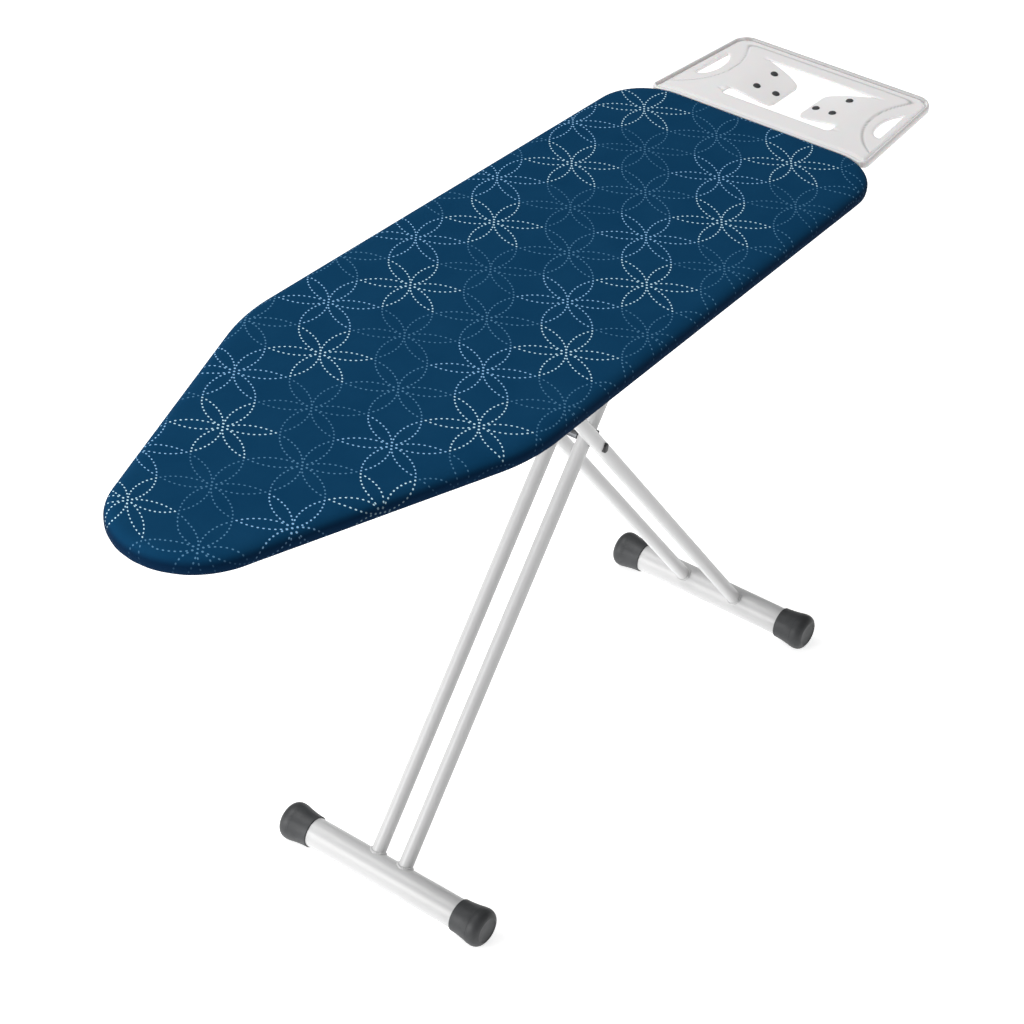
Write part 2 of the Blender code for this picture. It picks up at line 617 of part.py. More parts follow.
def make_rest_tray():
    """Moulded tray: flat sheet with a raised rim, two hand slots and a middle opening with
    a paddle sloping into it from each side."""
    sheet = [[Vector((x, y, z)) for x, y in rest_outline(0.002)]
             for z in (REST_TOP - REST_SHEET, REST_TOP)]
    tray = loft("iron_rest_tray", sheet, WHITE_PLASTIC)
    bead = ((0.0000, -0.0042), (0.0000, 0.0008), (0.0010, 0.0024), (0.0028, 0.0030),
            (0.0046, 0.0024), (0.0056, 0.0008), (0.0056, -0.0042))
    rings = [[Vector((x, y, REST_TOP + rise)) for x, y in rest_outline(inset)]
             for inset, rise in bead]
    rim = loft("rest_rim_shape", rings, WHITE_PLASTIC, closed=True)
    boolean(tray, rim, "UNION")

    corner = 0.006
    opening = [(OPENING_FRONT + corner, OPENING_HALF), (OPENING_REAR - corner, OPENING_HALF),
               (OPENING_REAR, OPENING_HALF - corner), (OPENING_REAR, -OPENING_HALF + corner),
               (OPENING_REAR - corner, -OPENING_HALF), (OPENING_FRONT + corner, -OPENING_HALF),
               (OPENING_FRONT, -OPENING_HALF + corner), (OPENING_FRONT, OPENING_HALF - corner)]
    boolean(tray, extrude_profile("rest_opening_cut", opening, "Z", REST_TOP - 0.05,
                                  REST_TOP + 0.05, WHITE_PLASTIC))
    for side, sign in mirrored_sides():
        ends = [(x, sign * (rest_half_width(x) - SLOT_IN)) for x in (SLOT_FRONT, SLOT_REAR)]
        middle = ((ends[0][0] + ends[1][0]) / 2, (ends[0][1] + ends[1][1]) / 2)
        half = (SLOT_REAR - SLOT_FRONT) / 2
        bow = [(middle[0] - half * math.cos(math.pi * i / 10),
                middle[1] - sign * SLOT_BOW * math.sin(math.pi * i / 10)) for i in range(1, 10)]
        slot = [ends[0]] + bow + [ends[1]]
        boolean(tray, extrude_profile("rest_slot_cut_" + side, slot, "Z", REST_TOP - 0.05,
                                      REST_TOP + 0.05, WHITE_PLASTIC))
        boolean(tray, make_paddle(side, sign), "UNION")


def make_paddle(side, sign):
    """Sloping tongue, tapering from the tray's side to a rounded tip near the middle."""
    rear_edge = [(0.1590, 0.0900), (0.1575, 0.0760), (0.1525, 0.0560), (0.1415, 0.0310),
                 (0.1365, 0.0245), (0.1290, 0.0212)]
    front_edge = [(0.0740, 0.0212), (0.0670, 0.0240), (0.0635, 0.0310), (0.0615, 0.0480),
                  (0.0615, 0.0700), (0.0590, 0.0900)]
    outline = [(REAR_X + x, sign * y) for x, y in rear_edge + front_edge]
    top = [Vector((x, y, paddle_height(y) - 0.0001)) for x, y in outline]
    bottom = [point - Vector((0, 0, REST_SHEET - 0.0002)) for point in top]
    return loft("rest_paddle_shape_" + side, [bottom, top], WHITE_PLASTIC)


def make_rest_pads():
    """Three rubber buttons on each paddle, square to its slope."""
    places = (("rear", 0.1340, 0.0610), ("front", 0.0900, 0.0610), ("tip", 0.0945, 0.0325))
    for side, sign in mirrored_sides():
        up = Vector((0, -sign * PADDLE_SLOPE, 1)).normalized()
        for place, x, y in places:
            base = Vector((REAR_X + x, sign * y, paddle_height(y))) + up * CLEARANCE
            profile = [(0.0052, 0.0), (0.0054, 0.0012), (0.0044, 0.0024), (0.0022, 0.0029)]
            turned("rest_pad_%s_%s" % (side, place), base, up, profile, BLACK_RUBBER, 16)


def make_rest_arms():
    """Joggled flat bars from the panel, below the cover's hem, to the tray's underside."""
    thick = 0.0025
    under_hem = COVER_BOTTOM - 2 * CLEARANCE
    under_tray = REST_TOP - REST_SHEET - CLEARANCE
    bend = [(REAR_X - 0.110, UNDER), (REAR_X - 0.060, UNDER), (REAR_X - 0.044, under_hem),
            (REAR_X + 0.010, under_hem), (REAR_X + 0.026, under_tray),
            (REAR_X + 0.080, under_tray)]
    profile = bend + [(x, z - thick) for x, z in reversed(bend)]
    for side, sign in mirrored_sides():
        y = sign * 0.1045
        arm = extrude_profile("rest_arm_" + side, profile, "Y", y - 0.008, y + 0.008, WHITE_PAINT)
        for index, x in enumerate((REAR_X + 0.040, REAR_X + 0.066), start=1):
            boolean(arm, cutter("rest_arm_hole_%s_%d" % (side, index),
                                (x, y, under_tray - 0.02), (x, y, under_tray + 0.001), 0.0025, 12))
            head = under_tray - thick - CLEARANCE
            profile_screw = [(0.0035, -0.0020), (0.0042, -0.0008), (0.0042, 0.0), (0.0022, 0.0),
                             (0.0022, thick + CLEARANCE)]
            turned("rest_screw_%s_%d" % (side, index), (x, y, head), (0, 0, 1), profile_screw,
                   GREY_STEEL, 12)


make_panel()
make_rim()
make_pad()
make_cover()
make_braces()
make_guide_rails()
make_lock_rod()
make_leg_bracket()
make_legs("front", FRONT_FOOT_X, FRONT_LEG_Y)
make_legs("rear", REAR_FOOT_X, REAR_LEG_Y)
make_pivot()
make_slider()
make_release_lever()
make_rest_tray()
make_rest_pads()
make_rest_arms()

hang_on_axis("front_legs_axis", (HINGE_X, 0, AXLE_Z), ("front_", "pivot_sleeve"))
hang_on_axis("rear_legs_axis", (CROSSING_X, 0, CROSSING_Z),
             ("rear_", "pivot_bolt", "pivot_cap", "pivot_spacer"))
hang_on_axis("slide_carriage_axis", (SLIDE_X, 0, AXLE_Z), ("slide_", "release_spring"))
hang_on_axis("release_lever_axis", (SLIDE_X, 0, AXLE_Z),
             ("grip_plate", "release_rod", "release_handle"))
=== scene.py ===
"""Looks of the folding ironing board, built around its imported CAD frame.

Metres, +Z up, the floor at z = 0. +X runs from the nose of the board to the iron rest.
"""

import json
import math

import bmesh
import bpy
import numpy as np
from mathutils import Matrix, Vector, geometry, noise


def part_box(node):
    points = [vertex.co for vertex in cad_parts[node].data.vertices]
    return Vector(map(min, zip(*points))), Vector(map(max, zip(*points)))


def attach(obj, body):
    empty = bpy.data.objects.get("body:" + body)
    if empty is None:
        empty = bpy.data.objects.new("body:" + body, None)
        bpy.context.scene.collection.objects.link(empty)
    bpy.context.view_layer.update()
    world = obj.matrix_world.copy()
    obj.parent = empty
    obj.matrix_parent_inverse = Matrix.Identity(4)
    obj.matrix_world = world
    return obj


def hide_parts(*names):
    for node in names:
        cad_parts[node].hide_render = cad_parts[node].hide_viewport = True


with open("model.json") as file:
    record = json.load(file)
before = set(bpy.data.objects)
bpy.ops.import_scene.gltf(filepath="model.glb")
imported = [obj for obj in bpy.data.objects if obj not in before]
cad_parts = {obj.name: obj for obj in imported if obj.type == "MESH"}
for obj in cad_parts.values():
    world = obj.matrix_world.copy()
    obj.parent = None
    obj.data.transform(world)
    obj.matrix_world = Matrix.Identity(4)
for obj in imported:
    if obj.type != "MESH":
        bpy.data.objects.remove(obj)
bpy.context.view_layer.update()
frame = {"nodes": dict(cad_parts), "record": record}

# ---- the camera, at the photograph's viewing angle ----
CAMERA_PLACE = (-2.2352, -1.6471, 2.5503)
CAMERA_AZIMUTH = math.radians(-53.22)
CAMERA_ELEVATION = math.radians(37.06)
CAMERA_ROLL = math.radians(1.27)
CAMERA_LENS = 94.12

# ---- the board, from the frame and from the design's own dimensions ----
NOSE_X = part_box("cotton_cover")[0].x
REAR_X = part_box("cotton_cover")[1].x
BOARD_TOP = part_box("cotton_cover")[1].z
COVER_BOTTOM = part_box("cotton_cover")[0].z
PANEL_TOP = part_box("board_panel")[1].z
BOARD_WIDTH = 0.440
NOSE_RADIUS = 0.103
SHOULDER_FROM_NOSE = 0.412
SHOULDER_RADIUS = 0.250
REAR_CORNER_RADIUS = 0.077
SIDE_TAPER = 0.0194
OUTLINE_POINTS = 480

# ---- legs and feet ----
LEG_RADIUS = 0.010
LEG_WALL = 0.0012
FOOT_RADIUS = 0.021
FOOT_WALL = 0.0012
FOOT_Z = 0.027
CROSSING_X = 0.092
CROSSING_Z = 0.5305
FRONT_FOOT_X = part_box("front_foot_tube")[0].x + FOOT_RADIUS
LEG_ANGLE = math.atan2(CROSSING_Z - FOOT_Z, CROSSING_X - FRONT_FOOT_X)
AXLE_Z = BOARD_TOP - 0.030
TUBE_PAST_AXLE = 0.011
TUBE_SEGMENTS = 48
SADDLE_GAP = 0.0002          # between a leg's coped end and the foot tube
BEAD_POINTS = 96             # round each weld bead
BEAD_RADIUS = 0.0020
BEAD_RIPPLE = 0.00022
BEAD_RIPPLES = 24
BEAD_WANDER = 0.00025

# ---- spacers at the crossing ----
SPACER_RADIUS = 0.0064
SPACER_BORE = 0.0043
LUG_HALF_WIDTH = 0.0040
LUG_REACH = 0.0135

# ---- caps on the crossing bolt ----
CAP_HALF_LENGTH = 0.0070
CAP_HALF_WIDTH = 0.0046
CAP_LEAN = math.radians(12)  # from upright, towards the iron rest
CAP_EDGE = ((0.0, 0.0), (0.0074, 0.0), (0.0086, 0.0004), (0.0093, 0.0014), (0.0095, 0.0030))

# ---- the iron rest's tray ----
REST_TOP = BOARD_TOP - 0.006
REST_SHEET = 0.0026
REST_FRONT = REAR_X - 0.010
REST_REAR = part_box("iron_rest_tray")[1].x
REST_HALF_FRONT = 0.173
REST_HALF_REAR = 0.156
REST_GAP = -0.0008           # the front edge presses this far into the cover's soft side
OPENING_FRONT = REAR_X + 0.0395
OPENING_REAR = REAR_X + 0.1605
OPENING_HALF = 0.086
SLOT_FRONT = REAR_X + 0.067
SLOT_REAR = REAR_X + 0.142
SLOT_IN = 0.0180
SLOT_BOW = 0.0180
PADDLE_SLOPE = 0.154
FIELD_RISE = 0.0010          # the middle field stands this far above the band round it
GROOVE = 0.0012              # and a groove this deep runs round the field
FIELD_REAR = REST_REAR - 0.0165
FIELD_ARC_CENTRE = (REAR_X + 0.113, 0.219)
FIELD_ARC_RADIUS = 0.1066
FIELD_CORNER = 0.006
TONGUE_BEND = 0.0045
TRAY_GRID = 0.0022           # spacing of the points between the tray's outlines
RIM_SECTION = ((0.0, -0.0040), (0.0002, -0.0004), (0.0009, 0.0016), (0.0020, 0.0028),
               (0.0031, 0.0029), (0.0041, 0.0018), (0.0047, -0.0002), (0.0053, -0.0020),
               (0.0060, -0.0022), (0.0067, -0.0010), (0.0074, 0.0))

# ---- the padded cover ----
COVER_THICKNESS = 0.0009
PAD_FACE = 0.0120            # the flat top ends this far in from the outline
TOP_RINGS = 26               # rings of points between the middle line and the rounded edge
HEM_FROM = 0.052             # along the section, where the cloth has turned under the rim
HEM_OVER = 0.020             # and how far on it's fully gathered
SIDE_GATHER = 0.0002
HEM_GATHER = 0.0012
HEM_LIFT = 0.0010

# ---- the print ----
PRINT_ORIGIN = Vector((0.4238, 0.1342))      # one flower's centre
PRINT_DIAGONAL = Vector((0.0899, 0.0646))    # to the next flower along the board
PRINT_ACROSS = Vector((0.0005, -0.1168))     # to the next flower across the board
PETAL_REACH = 0.95                           # how far a petal goes towards the hexagon's corner
STITCHES_PER_ARC = 10                        # between a flower's centre and a petal's tip
STITCH_LENGTH = 0.0240                       # in flower spacings
STITCH_WIDTH = 0.0165
WEAVE_PITCH = 0.0009
NOSE_PULL = 0.031                            # how far the print is drawn back beside the nose
NOSE_PULL_REACH = 0.20

# ---- floor and lights: name, place, size, watts ----
FLOOR_SIZE = 160.0
FLOOR_GLOW = 0.72
WORLD_STRENGTH = 0.27
LIGHTS = (("key", (-3.9, 1.8, 1.5), 2.2, 112.0), ("top", (-0.7, 1.6, 5.5), 3.0, 184.0))
LIGHT_TARGET = Vector((0.0, 0.0, 0.5))


# ---------------------------------------------------------------- helpers
def collection_link(obj):
    bpy.context.scene.collection.objects.link(obj)
    return obj


def mesh_object(name, bm, mat, smooth=40.0):
    """One object from a bmesh, with outward faces, smooth shading and one material."""
    bmesh.ops.remove_doubles(bm, verts=bm.verts, dist=1e-6)
    bmesh.ops.recalc_face_normals(bm, faces=bm.faces)
    mesh = bpy.data.meshes.new(name)
    bm.to_mesh(mesh)
    bm.free()
    mesh.shade_smooth()
    mesh.set_sharp_from_angle(angle=math.radians(smooth))
    mesh.materials.append(mat)
    return collection_link(bpy.data.objects.new(name, mesh))


def loft(name, rings, mat, closed=False):
    """Join rings of equal point counts, capping the ends or joining them when closed."""
    bm = bmesh.new()
    loops = [[bm.verts.new(point) for point in ring] for ring in rings]
    pairs = list(zip(loops, loops[1:]))
    if closed:
        pairs.append((loops[-1], loops[0]))
    for low, high in pairs:
        for i in range(len(low)):
            j = (i + 1) % len(low)
            bm.faces.new((low[i], low[j], high[j], high[i]))
    if not closed:
        bm.faces.new(loops[0])
        bm.faces.new(loops[-1])
    return mesh_object(name, bm, mat)


def circle(centre, direction, radius, segments):
    """Points round a circle that faces along a direction."""
    direction = Vector(direction).normalized()
    across = Vector((0, 0, 1)) if abs(direction.z) < 0.9 else Vector((1, 0, 0))
    u = (across - direction * across.dot(direction)).normalized()
    v = direction.cross(u)
    return [
        Vector(centre) + radius * (math.cos(math.tau * i / segments) * u
                                   + math.sin(math.tau * i / segments) * v)
        for i in range(segments)
    ]


def turned(name, base, direction, profile, mat, segments=64, closed=False):
    """Turn a profile of (radius, distance along the axis) about an axis through base."""
    base = Vector(base)
    direction = Vector(direction).normalized()
    rings = [circle(base + direction * along, direction, radius, segments)
             for radius, along in profile]
    return loft(name, rings, mat, closed)


def smooth_profile(points, steps):
    """Points on a smooth curve through a profile's own points."""
    points = [Vector(p) for p in points]
    padded = [2 * points[0] - points[1]] + points + [2 * points[-1] - points[-2]]
    result = []
    for k in range(len(points) - 1):
        a, b, c, d = padded[k:k + 4]
        for i in range(steps):
            t = i / steps
            result.append(0.5 * ((2 * b) + (c - a) * t + (2 * a - 5 * b + 4 * c - d) * t ** 2
                                 + (3 * b - a - 3 * c + d) * t ** 3))
    result.append(points[-1])
    return result


# ---------------------------------------------------------------- materials
class Nodes:
    """Builds one material's node tree, a call for each node."""

    def __init__(self, name, roughness=0.5, metallic=0.0, **sockets):
        self.mat = bpy.data.materials.new(name)
        self.mat.use_nodes = True
        self.tree = self.mat.node_tree
        self.shader = self.tree.nodes["Principled BSDF"]
        self.shader.inputs["Roughness"].default_value = roughness
        self.shader.inputs["Metallic"].default_value = metallic
        for label, value in sockets.items():
            self.shader.inputs[label.replace("_", " ")].default_value = value

    def link(self, source, node, socket):
        self.tree.links.new(source, node.inputs[socket])

    def add(self, kind, inputs=(), **settings):
        node = self.tree.nodes.new(kind)
        for key, value in settings.items():
            setattr(node, key, value)
        for socket, value in dict(inputs).items():
            if isinstance(value, bpy.types.NodeSocket):
                self.link(value, node, socket)
            else:
                node.inputs[socket].default_value = value
        return node

    def math(self, operation, a, b=0.0, c=0.0, clamp=False):
        return self.add("ShaderNodeMath", {0: a, 1: b, 2: c}, operation=operation,
                        use_clamp=clamp).outputs[0]

    def vector(self, operation, a, b=(0, 0, 0), c=(0, 0, 0), output=0):
        """Vector math; output 0 is the vector and 1 the number."""
        node = self.add("ShaderNodeVectorMath", {0: a, 1: b}, operation=operation)
        if operation == "WRAP":
            node.inputs[2].default_value = c
        return node.outputs[output]

    def noise(self, where, scale, detail=2.0, roughness=0.5):
        return self.add("ShaderNodeTexNoise", {"Vector": where, "Scale": scale, "Detail": detail,
                                               "Roughness": roughness}).outputs["Fac"]

    def ramp(self, factor, low, high, a=(0, 0, 0, 1), b=(1, 1, 1, 1)):
        """Colour that goes from a to b as the factor goes from low to high."""
        node = self.add("ShaderNodeValToRGB", {"Fac": factor})
        node.color_ramp.elements[0].position = low
        node.color_ramp.elements[0].color = a
        node.color_ramp.elements[1].position = high
        node.color_ramp.elements[1].color = b
        return node.outputs["Color"]

    def between(self, factor, low, high):
        """Number that goes from low to high with the factor."""
        return self.add("ShaderNodeMapRange", {"Value": factor, "To Min": low,
                                               "To Max": high}).outputs["Result"]

    def mix(self, factor, a, b):
        """Colour that goes from a to b as the factor goes from 0 to 1."""
        node = self.add("ShaderNodeMix", data_type="RGBA")
        for socket, value in ((0, factor), (6, a), (7, b)):
            if isinstance(value, bpy.types.NodeSocket):
                self.link(value, node, socket)
            else:
                node.inputs[socket].default_value = value
        return node.outputs[2]

    def place(self):
        return self.add("ShaderNodeTexCoord").outputs["Object"]

    def bump(self, height, distance, strength):
        return self.add("ShaderNodeBump", {"Height": height, "Distance": distance,
                                           "Strength": strength}).outputs["Normal"]

    def finish(self, colour=None, roughness=None, normal=None):
        """Link what varies over the surface to the shader, and hand over the material."""
        for socket, value in (("Base Color", colour), ("Roughness", roughness),
                              ("Normal", normal)):
            if value is not None:
                self.link(value, self.shader, socket)
        return self.mat


def white_paint():
    """Glossy white powder coat with faint orange peel and slightly uneven shade."""
    n = Nodes("white_powder_coat", roughness=0.32, Specular_IOR_Level=0.45)
    place = n.place()
    cloud = n.noise(place, 9.0, 3.0)
    colour = n.ramp(cloud, 0.30, 0.70, (0.582, 0.582, 0.582, 1), (0.60, 0.60, 0.60, 1))
    peel = n.noise(place, 420.0, 2.0, 0.6)
    rough = n.between(n.noise(place, 40.0, 2.0), 0.30, 0.35)
    return n.finish(colour, rough, n.bump(peel, 0.00004, 0.15))


def plated_steel():
    """Dull zinc-plated steel with darker patches and a fine grain."""
    n = Nodes("zinc_plated_steel", roughness=0.35, metallic=1.0)
    place = n.place()
    patch = n.noise(place, 60.0, 4.0)
    colour = n.ramp(patch, 0.3, 0.7, (0.12, 0.125, 0.135, 1), (0.21, 0.215, 0.225, 1))
    rough = n.between(n.noise(place, 180.0, 2.0), 0.42, 0.62)
    grain = n.noise(place, 900.0, 2.0)
    return n.finish(colour, rough, n.bump(grain, 0.00005, 0.3))


def moulded_black(name, low, high, rough_low, rough_high, grain_scale):
    """Dark rubber or plastic with a moulded grain and slightly lighter, duller patches."""
    n = Nodes(name, roughness=rough_high, Specular_IOR_Level=0.5)
    place = n.place()
    colour = n.ramp(n.noise(place, 34.0, 4.0), 0.35, 0.75, low, high)
    rough = n.between(n.noise(place, 75.0, 3.0), rough_low, rough_high)
    grain = n.noise(place, grain_scale, 2.0, 0.6)
    return n.finish(colour, rough, n.bump(grain, 0.00015, 0.4))


def white_plastic():
    """Satin moulded plastic, cool white and slightly translucent, with faint flow marks and
    painted shade in the tray's grooves and along its rim.
    """
    n = Nodes("white_moulded_plastic", roughness=0.32, Specular_IOR_Level=0.5,
              Subsurface_Weight=0.12, Subsurface_Scale=0.004)
    place = n.place()
    flow = n.noise(place, 12.0, 3.0)
    colour = n.ramp(flow, 0.25, 0.75, (0.83, 0.83, 0.83, 1), (0.87, 0.87, 0.87, 1))
    # painted shade: greys the plastic where the tray's per-point shade value is high, in its
    # grooves and along its rim
    painted_rim_groove_shade = n.add("ShaderNodeAttribute", attribute_name="painted_rim_groove_shade").outputs["Fac"]
    colour = n.mix(painted_rim_groove_shade, colour, (0.52, 0.52, 0.52, 1))
    rough = n.between(n.noise(place, 90.0, 3.0), 0.30, 0.38)
    texture = n.noise(place, 700.0, 2.0)
    return n.finish(colour, rough, n.bump(texture, 0.00006, 0.35))


def felt_foam():
    """Off-white felted foam with open pores."""
    n = Nodes("felted_foam", roughness=0.95, Sheen_Weight=0.2)
    place = n.place()
    pores = n.add("ShaderNodeTexVoronoi", {"Vector": place, "Scale": 520.0}).outputs["Distance"]
    colour = n.ramp(pores, 0.0, 0.6, (0.70, 0.70, 0.66, 1), (0.83, 0.83, 0.79, 1))
    return n.finish(colour, None, n.bump(pores, 0.0006, 0.7))


def printed_cotton():
    """Blue woven cotton with flowers of stitch marks, four brightnesses row by row.

    The print map holds the place on the flat cloth in flower spacings. Flowers sit on a
    triangular grid, so the nearest one is the nearer of two rectangular grids' points. Each
    petal joins a flower to a corner of the hexagon around it, and its sides are arcs about the
    neighbouring corners. Folding the hexagon into twelve equal wedges leaves one arc in each.
    """
    n = Nodes("printed_cotton", roughness=0.90, Specular_IOR_Level=0.05)
    spot = n.add("ShaderNodeUVMap", uv_map="print").outputs["UV"]
    half = (math.sqrt(3) / 2, 0.5, 1.0)
    low = tuple(-value for value in half)
    even = n.vector("WRAP", spot, half, low)
    odd = n.vector("WRAP", n.vector("SUBTRACT", spot, (half[0], half[1], 0.0)), half, low)
    nearer = n.math("LESS_THAN", n.vector("LENGTH", even, output=1),
                    n.vector("LENGTH", odd, output=1))
    from_flower = n.add("ShaderNodeMix", {0: nearer, 4: odd, 5: even},
                        data_type="VECTOR").outputs[1]

    # which row of flowers it is: rows of one brightness run along the board
    flower = n.vector("SUBTRACT", spot, from_flower)
    row = n.math("ROUND", n.vector("DOT_PRODUCT", flower, (math.sqrt(3), -1, 0), output=1))
    cycle = n.math("FLOORED_MODULO", row, 4.0)
    tone = n.add("ShaderNodeValToRGB", {"Fac": n.math("DIVIDE", n.math("ADD", cycle, 0.5), 4.0)})
    tone.color_ramp.interpolation = "CONSTANT"
    tones = ((0.0, (0.58, 0.86, 1.0, 1)), (0.25, (0.075, 0.205, 0.350, 1)),
             (0.50, (0.094, 0.243, 0.405, 1)), (0.75, (0.29, 0.56, 0.86, 1)))
    while len(tone.color_ramp.elements) < len(tones):
        tone.color_ramp.elements.new(0.5)
    for element, (position, shade) in zip(tone.color_ramp.elements, tones):
        element.position = position
        element.color = shade

    # fold the hexagon round the flower into a wedge between a petal and the gap beside it
    reach = PETAL_REACH / math.sqrt(3)
    parts = n.add("ShaderNodeSeparateXYZ", {0: from_flower})
    angle = n.math("ARCTAN2", parts.outputs[1], parts.outputs[0])
    sector = math.radians(30)
    folded = n.math("ABSOLUTE", n.math("WRAP", angle, sector, -sector))
    radius = n.vector("LENGTH", from_flower, output=1)
    beside_x = n.math("SUBTRACT", n.math("MULTIPLY", radius, n.math("COSINE", folded)), reach / 2)
    beside_y = n.math("SUBTRACT", n.math("MULTIPLY", radius, n.math("SINE", folded)),
                      -PETAL_REACH / 2)
    corner = n.add("ShaderNodeCombineXYZ", {0: beside_x, 1: beside_y}).outputs[0]
    off_arc = n.math("SUBTRACT", n.vector("LENGTH", corner, output=1), reach)
    around = n.math("ARCTAN2", beside_y, beside_x)
    share = n.math("DIVIDE", n.math("SUBTRACT", around, 2 * sector), 2 * sector)
    step = n.math("FRACT", n.math("MULTIPLY_ADD", share, float(STITCHES_PER_ARC), 0.5))
    pitch = reach * 2 * sector / STITCHES_PER_ARC
    along = n.math("MULTIPLY", n.math("ABSOLUTE", n.math("SUBTRACT", step, 0.5)), pitch)
    straight = STITCH_LENGTH / 2 - STITCH_WIDTH / 2
    past = n.math("MAXIMUM", n.math("SUBTRACT", along, straight), 0.0)
    ends = n.add("ShaderNodeCombineXYZ", {0: past, 1: off_arc}).outputs[0]
    from_stitch = n.math("SUBTRACT", n.vector("LENGTH", ends, output=1), STITCH_WIDTH / 2)
    blur = 0.0020
    ink = n.add("ShaderNodeMapRange", {"Value": from_stitch, "From Min": blur, "From Max": -blur,
                                       "To Min": 0.0, "To Max": 1.0}).outputs["Result"]

    # the woven ground, a little uneven, with the ink worn along its threads
    cloth = n.add("ShaderNodeUVMap", uv_map="cloth").outputs["UV"]
    threads = n.vector("SCALE", cloth)
    threads.node.inputs["Scale"].default_value = math.tau / WEAVE_PITCH
    thread = n.add("ShaderNodeSeparateXYZ", {0: threads})
    weave = n.math("MULTIPLY", n.math("SINE", thread.outputs[0]),
                   n.math("SINE", thread.outputs[1]))
    slub = n.noise(cloth, 260.0, 3.0)
    cloud = n.noise(cloth, 14.0, 3.0)

    ground = n.ramp(cloud, 0.25, 0.75, (0.0020, 0.0410, 0.1040, 1), (0.0042, 0.0500, 0.1200, 1))
    ground = n.mix(n.between(slub, 0.0, 0.30), ground, (0.0012, 0.0300, 0.0800, 1))
    worn = n.math("MULTIPLY", ink, n.between(slub, 0.85, 1.15), clamp=True)
    colour = n.mix(worn, ground, tone.outputs["Color"])

    # painted shade: the cloth is darkened where it turns down over the edge, more the further its
    # surface tilts away from facing up
    facing = n.add("ShaderNodeSeparateXYZ", {0: n.add("ShaderNodeNewGeometry").outputs["Normal"]})
    painted_edge_shade = n.add("ShaderNodeMapRange", {"Value": facing.outputs[2], "From Min": 0.97,
                                               "From Max": 0.20, "To Min": 0.0, "To Max": 0.80},
                        interpolation_type="SMOOTHSTEP").outputs["Result"]
    colour = n.mix(painted_edge_shade, colour, (0.0, 0.008, 0.030, 1))
    height = n.math("ADD", n.math("MULTIPLY", weave, 0.5), n.math("MULTIPLY", slub, 0.8))
    return n.finish(colour, None, n.bump(height, 0.00018, 0.45))


WHITE_PAINT = white_paint()
STEEL = plated_steel()
RUBBER = moulded_black("charcoal_rubber", (0.026, 0.028, 0.030, 1), (0.045, 0.047, 0.050, 1),
                       0.42, 0.62, 500.0)
BLACK_PLASTIC = moulded_black("black_moulded_plastic", (0.009, 0.009, 0.010, 1),
                              (0.017, 0.017, 0.018, 1), 0.36, 0.52, 800.0)
PLASTIC = white_plastic()
COTTON = printed_cotton()
FOAM = felt_foam()


def dress_cad_nodes():
    """Give every CAD node that stays in sight its finished material."""
    by_slot = {"white_paint": WHITE_PAINT, "plated_steel": STEEL, "black_rubber": RUBBER,
               "black_plastic": BLACK_PLASTIC, "white_plastic": PLASTIC,
               "cover_fabric": COTTON, "pad_foam": FOAM}
    for part in frame["record"]["subparts"]:
        obj = frame["nodes"][part["node"]]
        obj.data.materials.clear()
        obj.data.materials.append(by_slot[part["material_slot"]])


# ---------------------------------------------------------------- the board's outline
def arc(centre, radius, start, end, steps):
    """Points along an arc, with both ends."""
    return [
        Vector((centre[0] + radius * math.cos(start + (end - start) * i / steps),
                centre[1] + radius * math.sin(start + (end - start) * i / steps)))
        for i in range(steps + 1)
    ]


def fillet(before, corner, after, radius, steps):
    """Round a corner with an arc that touches both sides."""
    corner = Vector(corner)
    u = (Vector(before) - corner).normalized()
    v = (Vector(after) - corner).normalized()
    half = math.acos(max(-1.0, min(1.0, u.dot(v)))) / 2
    centre = corner + (u + v).normalized() * (radius / math.sin(half))
    first = corner + u * (radius / math.tan(half)) - centre
    last = corner + v * (radius / math.tan(half)) - centre
    start = math.atan2(first.y, first.x)
    sweep = math.atan2(last.y, last.x) - start
    sweep = (sweep + math.pi) % math.tau - math.pi
    return arc(centre, radius, start, start + sweep, steps)


def evenly(points, count):
    """Points at equal steps round a closed line."""
    points = points + [points[0]]
    lengths = [0.0]
    for a, b in zip(points, points[1:]):
        lengths.append(lengths[-1] + (b - a).length)
    result = []
    k = 0
    for i in range(count):
        place = lengths[-1] * i / count
        while lengths[k + 1] < place:
            k += 1
        share = (place - lengths[k]) / (lengths[k + 1] - lengths[k])
        result.append(points[k].lerp(points[k + 1], share))
    return result


def board_outline():
    """The board seen from above: evenly spaced points and their outward directions."""
    half = BOARD_WIDTH / 2
    nose = (NOSE_X + NOSE_RADIUS, 0.0)
    shoulder = (NOSE_X + SHOULDER_FROM_NOSE, half)
    corner = (REAR_X, half - SIDE_TAPER * (REAR_X - shoulder[0]))
    to_shoulder = Vector(shoulder) - Vector(nose)
    touch = math.atan2(to_shoulder.y, to_shoulder.x) + math.acos(NOSE_RADIUS / to_shoulder.length)
    upper = arc(nose, NOSE_RADIUS, math.pi, touch, 60)
    upper += fillet(upper[-1], shoulder, corner, SHOULDER_RADIUS, 30)
    upper += fillet(shoulder, corner, (REAR_X, 0), REAR_CORNER_RADIUS, 50)
    upper.append(Vector((REAR_X, 0.0)))
    lower = [Vector((p.x, -p.y)) for p in upper[1:-1]]
    points = evenly(upper + lower[::-1], OUTLINE_POINTS)
    outward = []
    for i, point in enumerate(points):
        ahead = points[(i + 1) % OUTLINE_POINTS] - points[i - 1]
        outward.append(Vector((-ahead.y, ahead.x)).normalized())
    if outward[0].x > 0:
        outward = [-direction for direction in outward]
    return points, outward


OUTLINE, OUTWARD = board_outline()


def outline_at(inset):
    """The board's outline, this far in from its edge."""
    return [p - n * inset for p, n in zip(OUTLINE, OUTWARD)]


def spine_point(point):
    """The nearest point of the board's middle line, kept clear of the rounded ends."""
    low, high = NOSE_X + NOSE_RADIUS, REAR_X - 0.19
    return Vector((max(low, min(high, point.x)), 0.0))


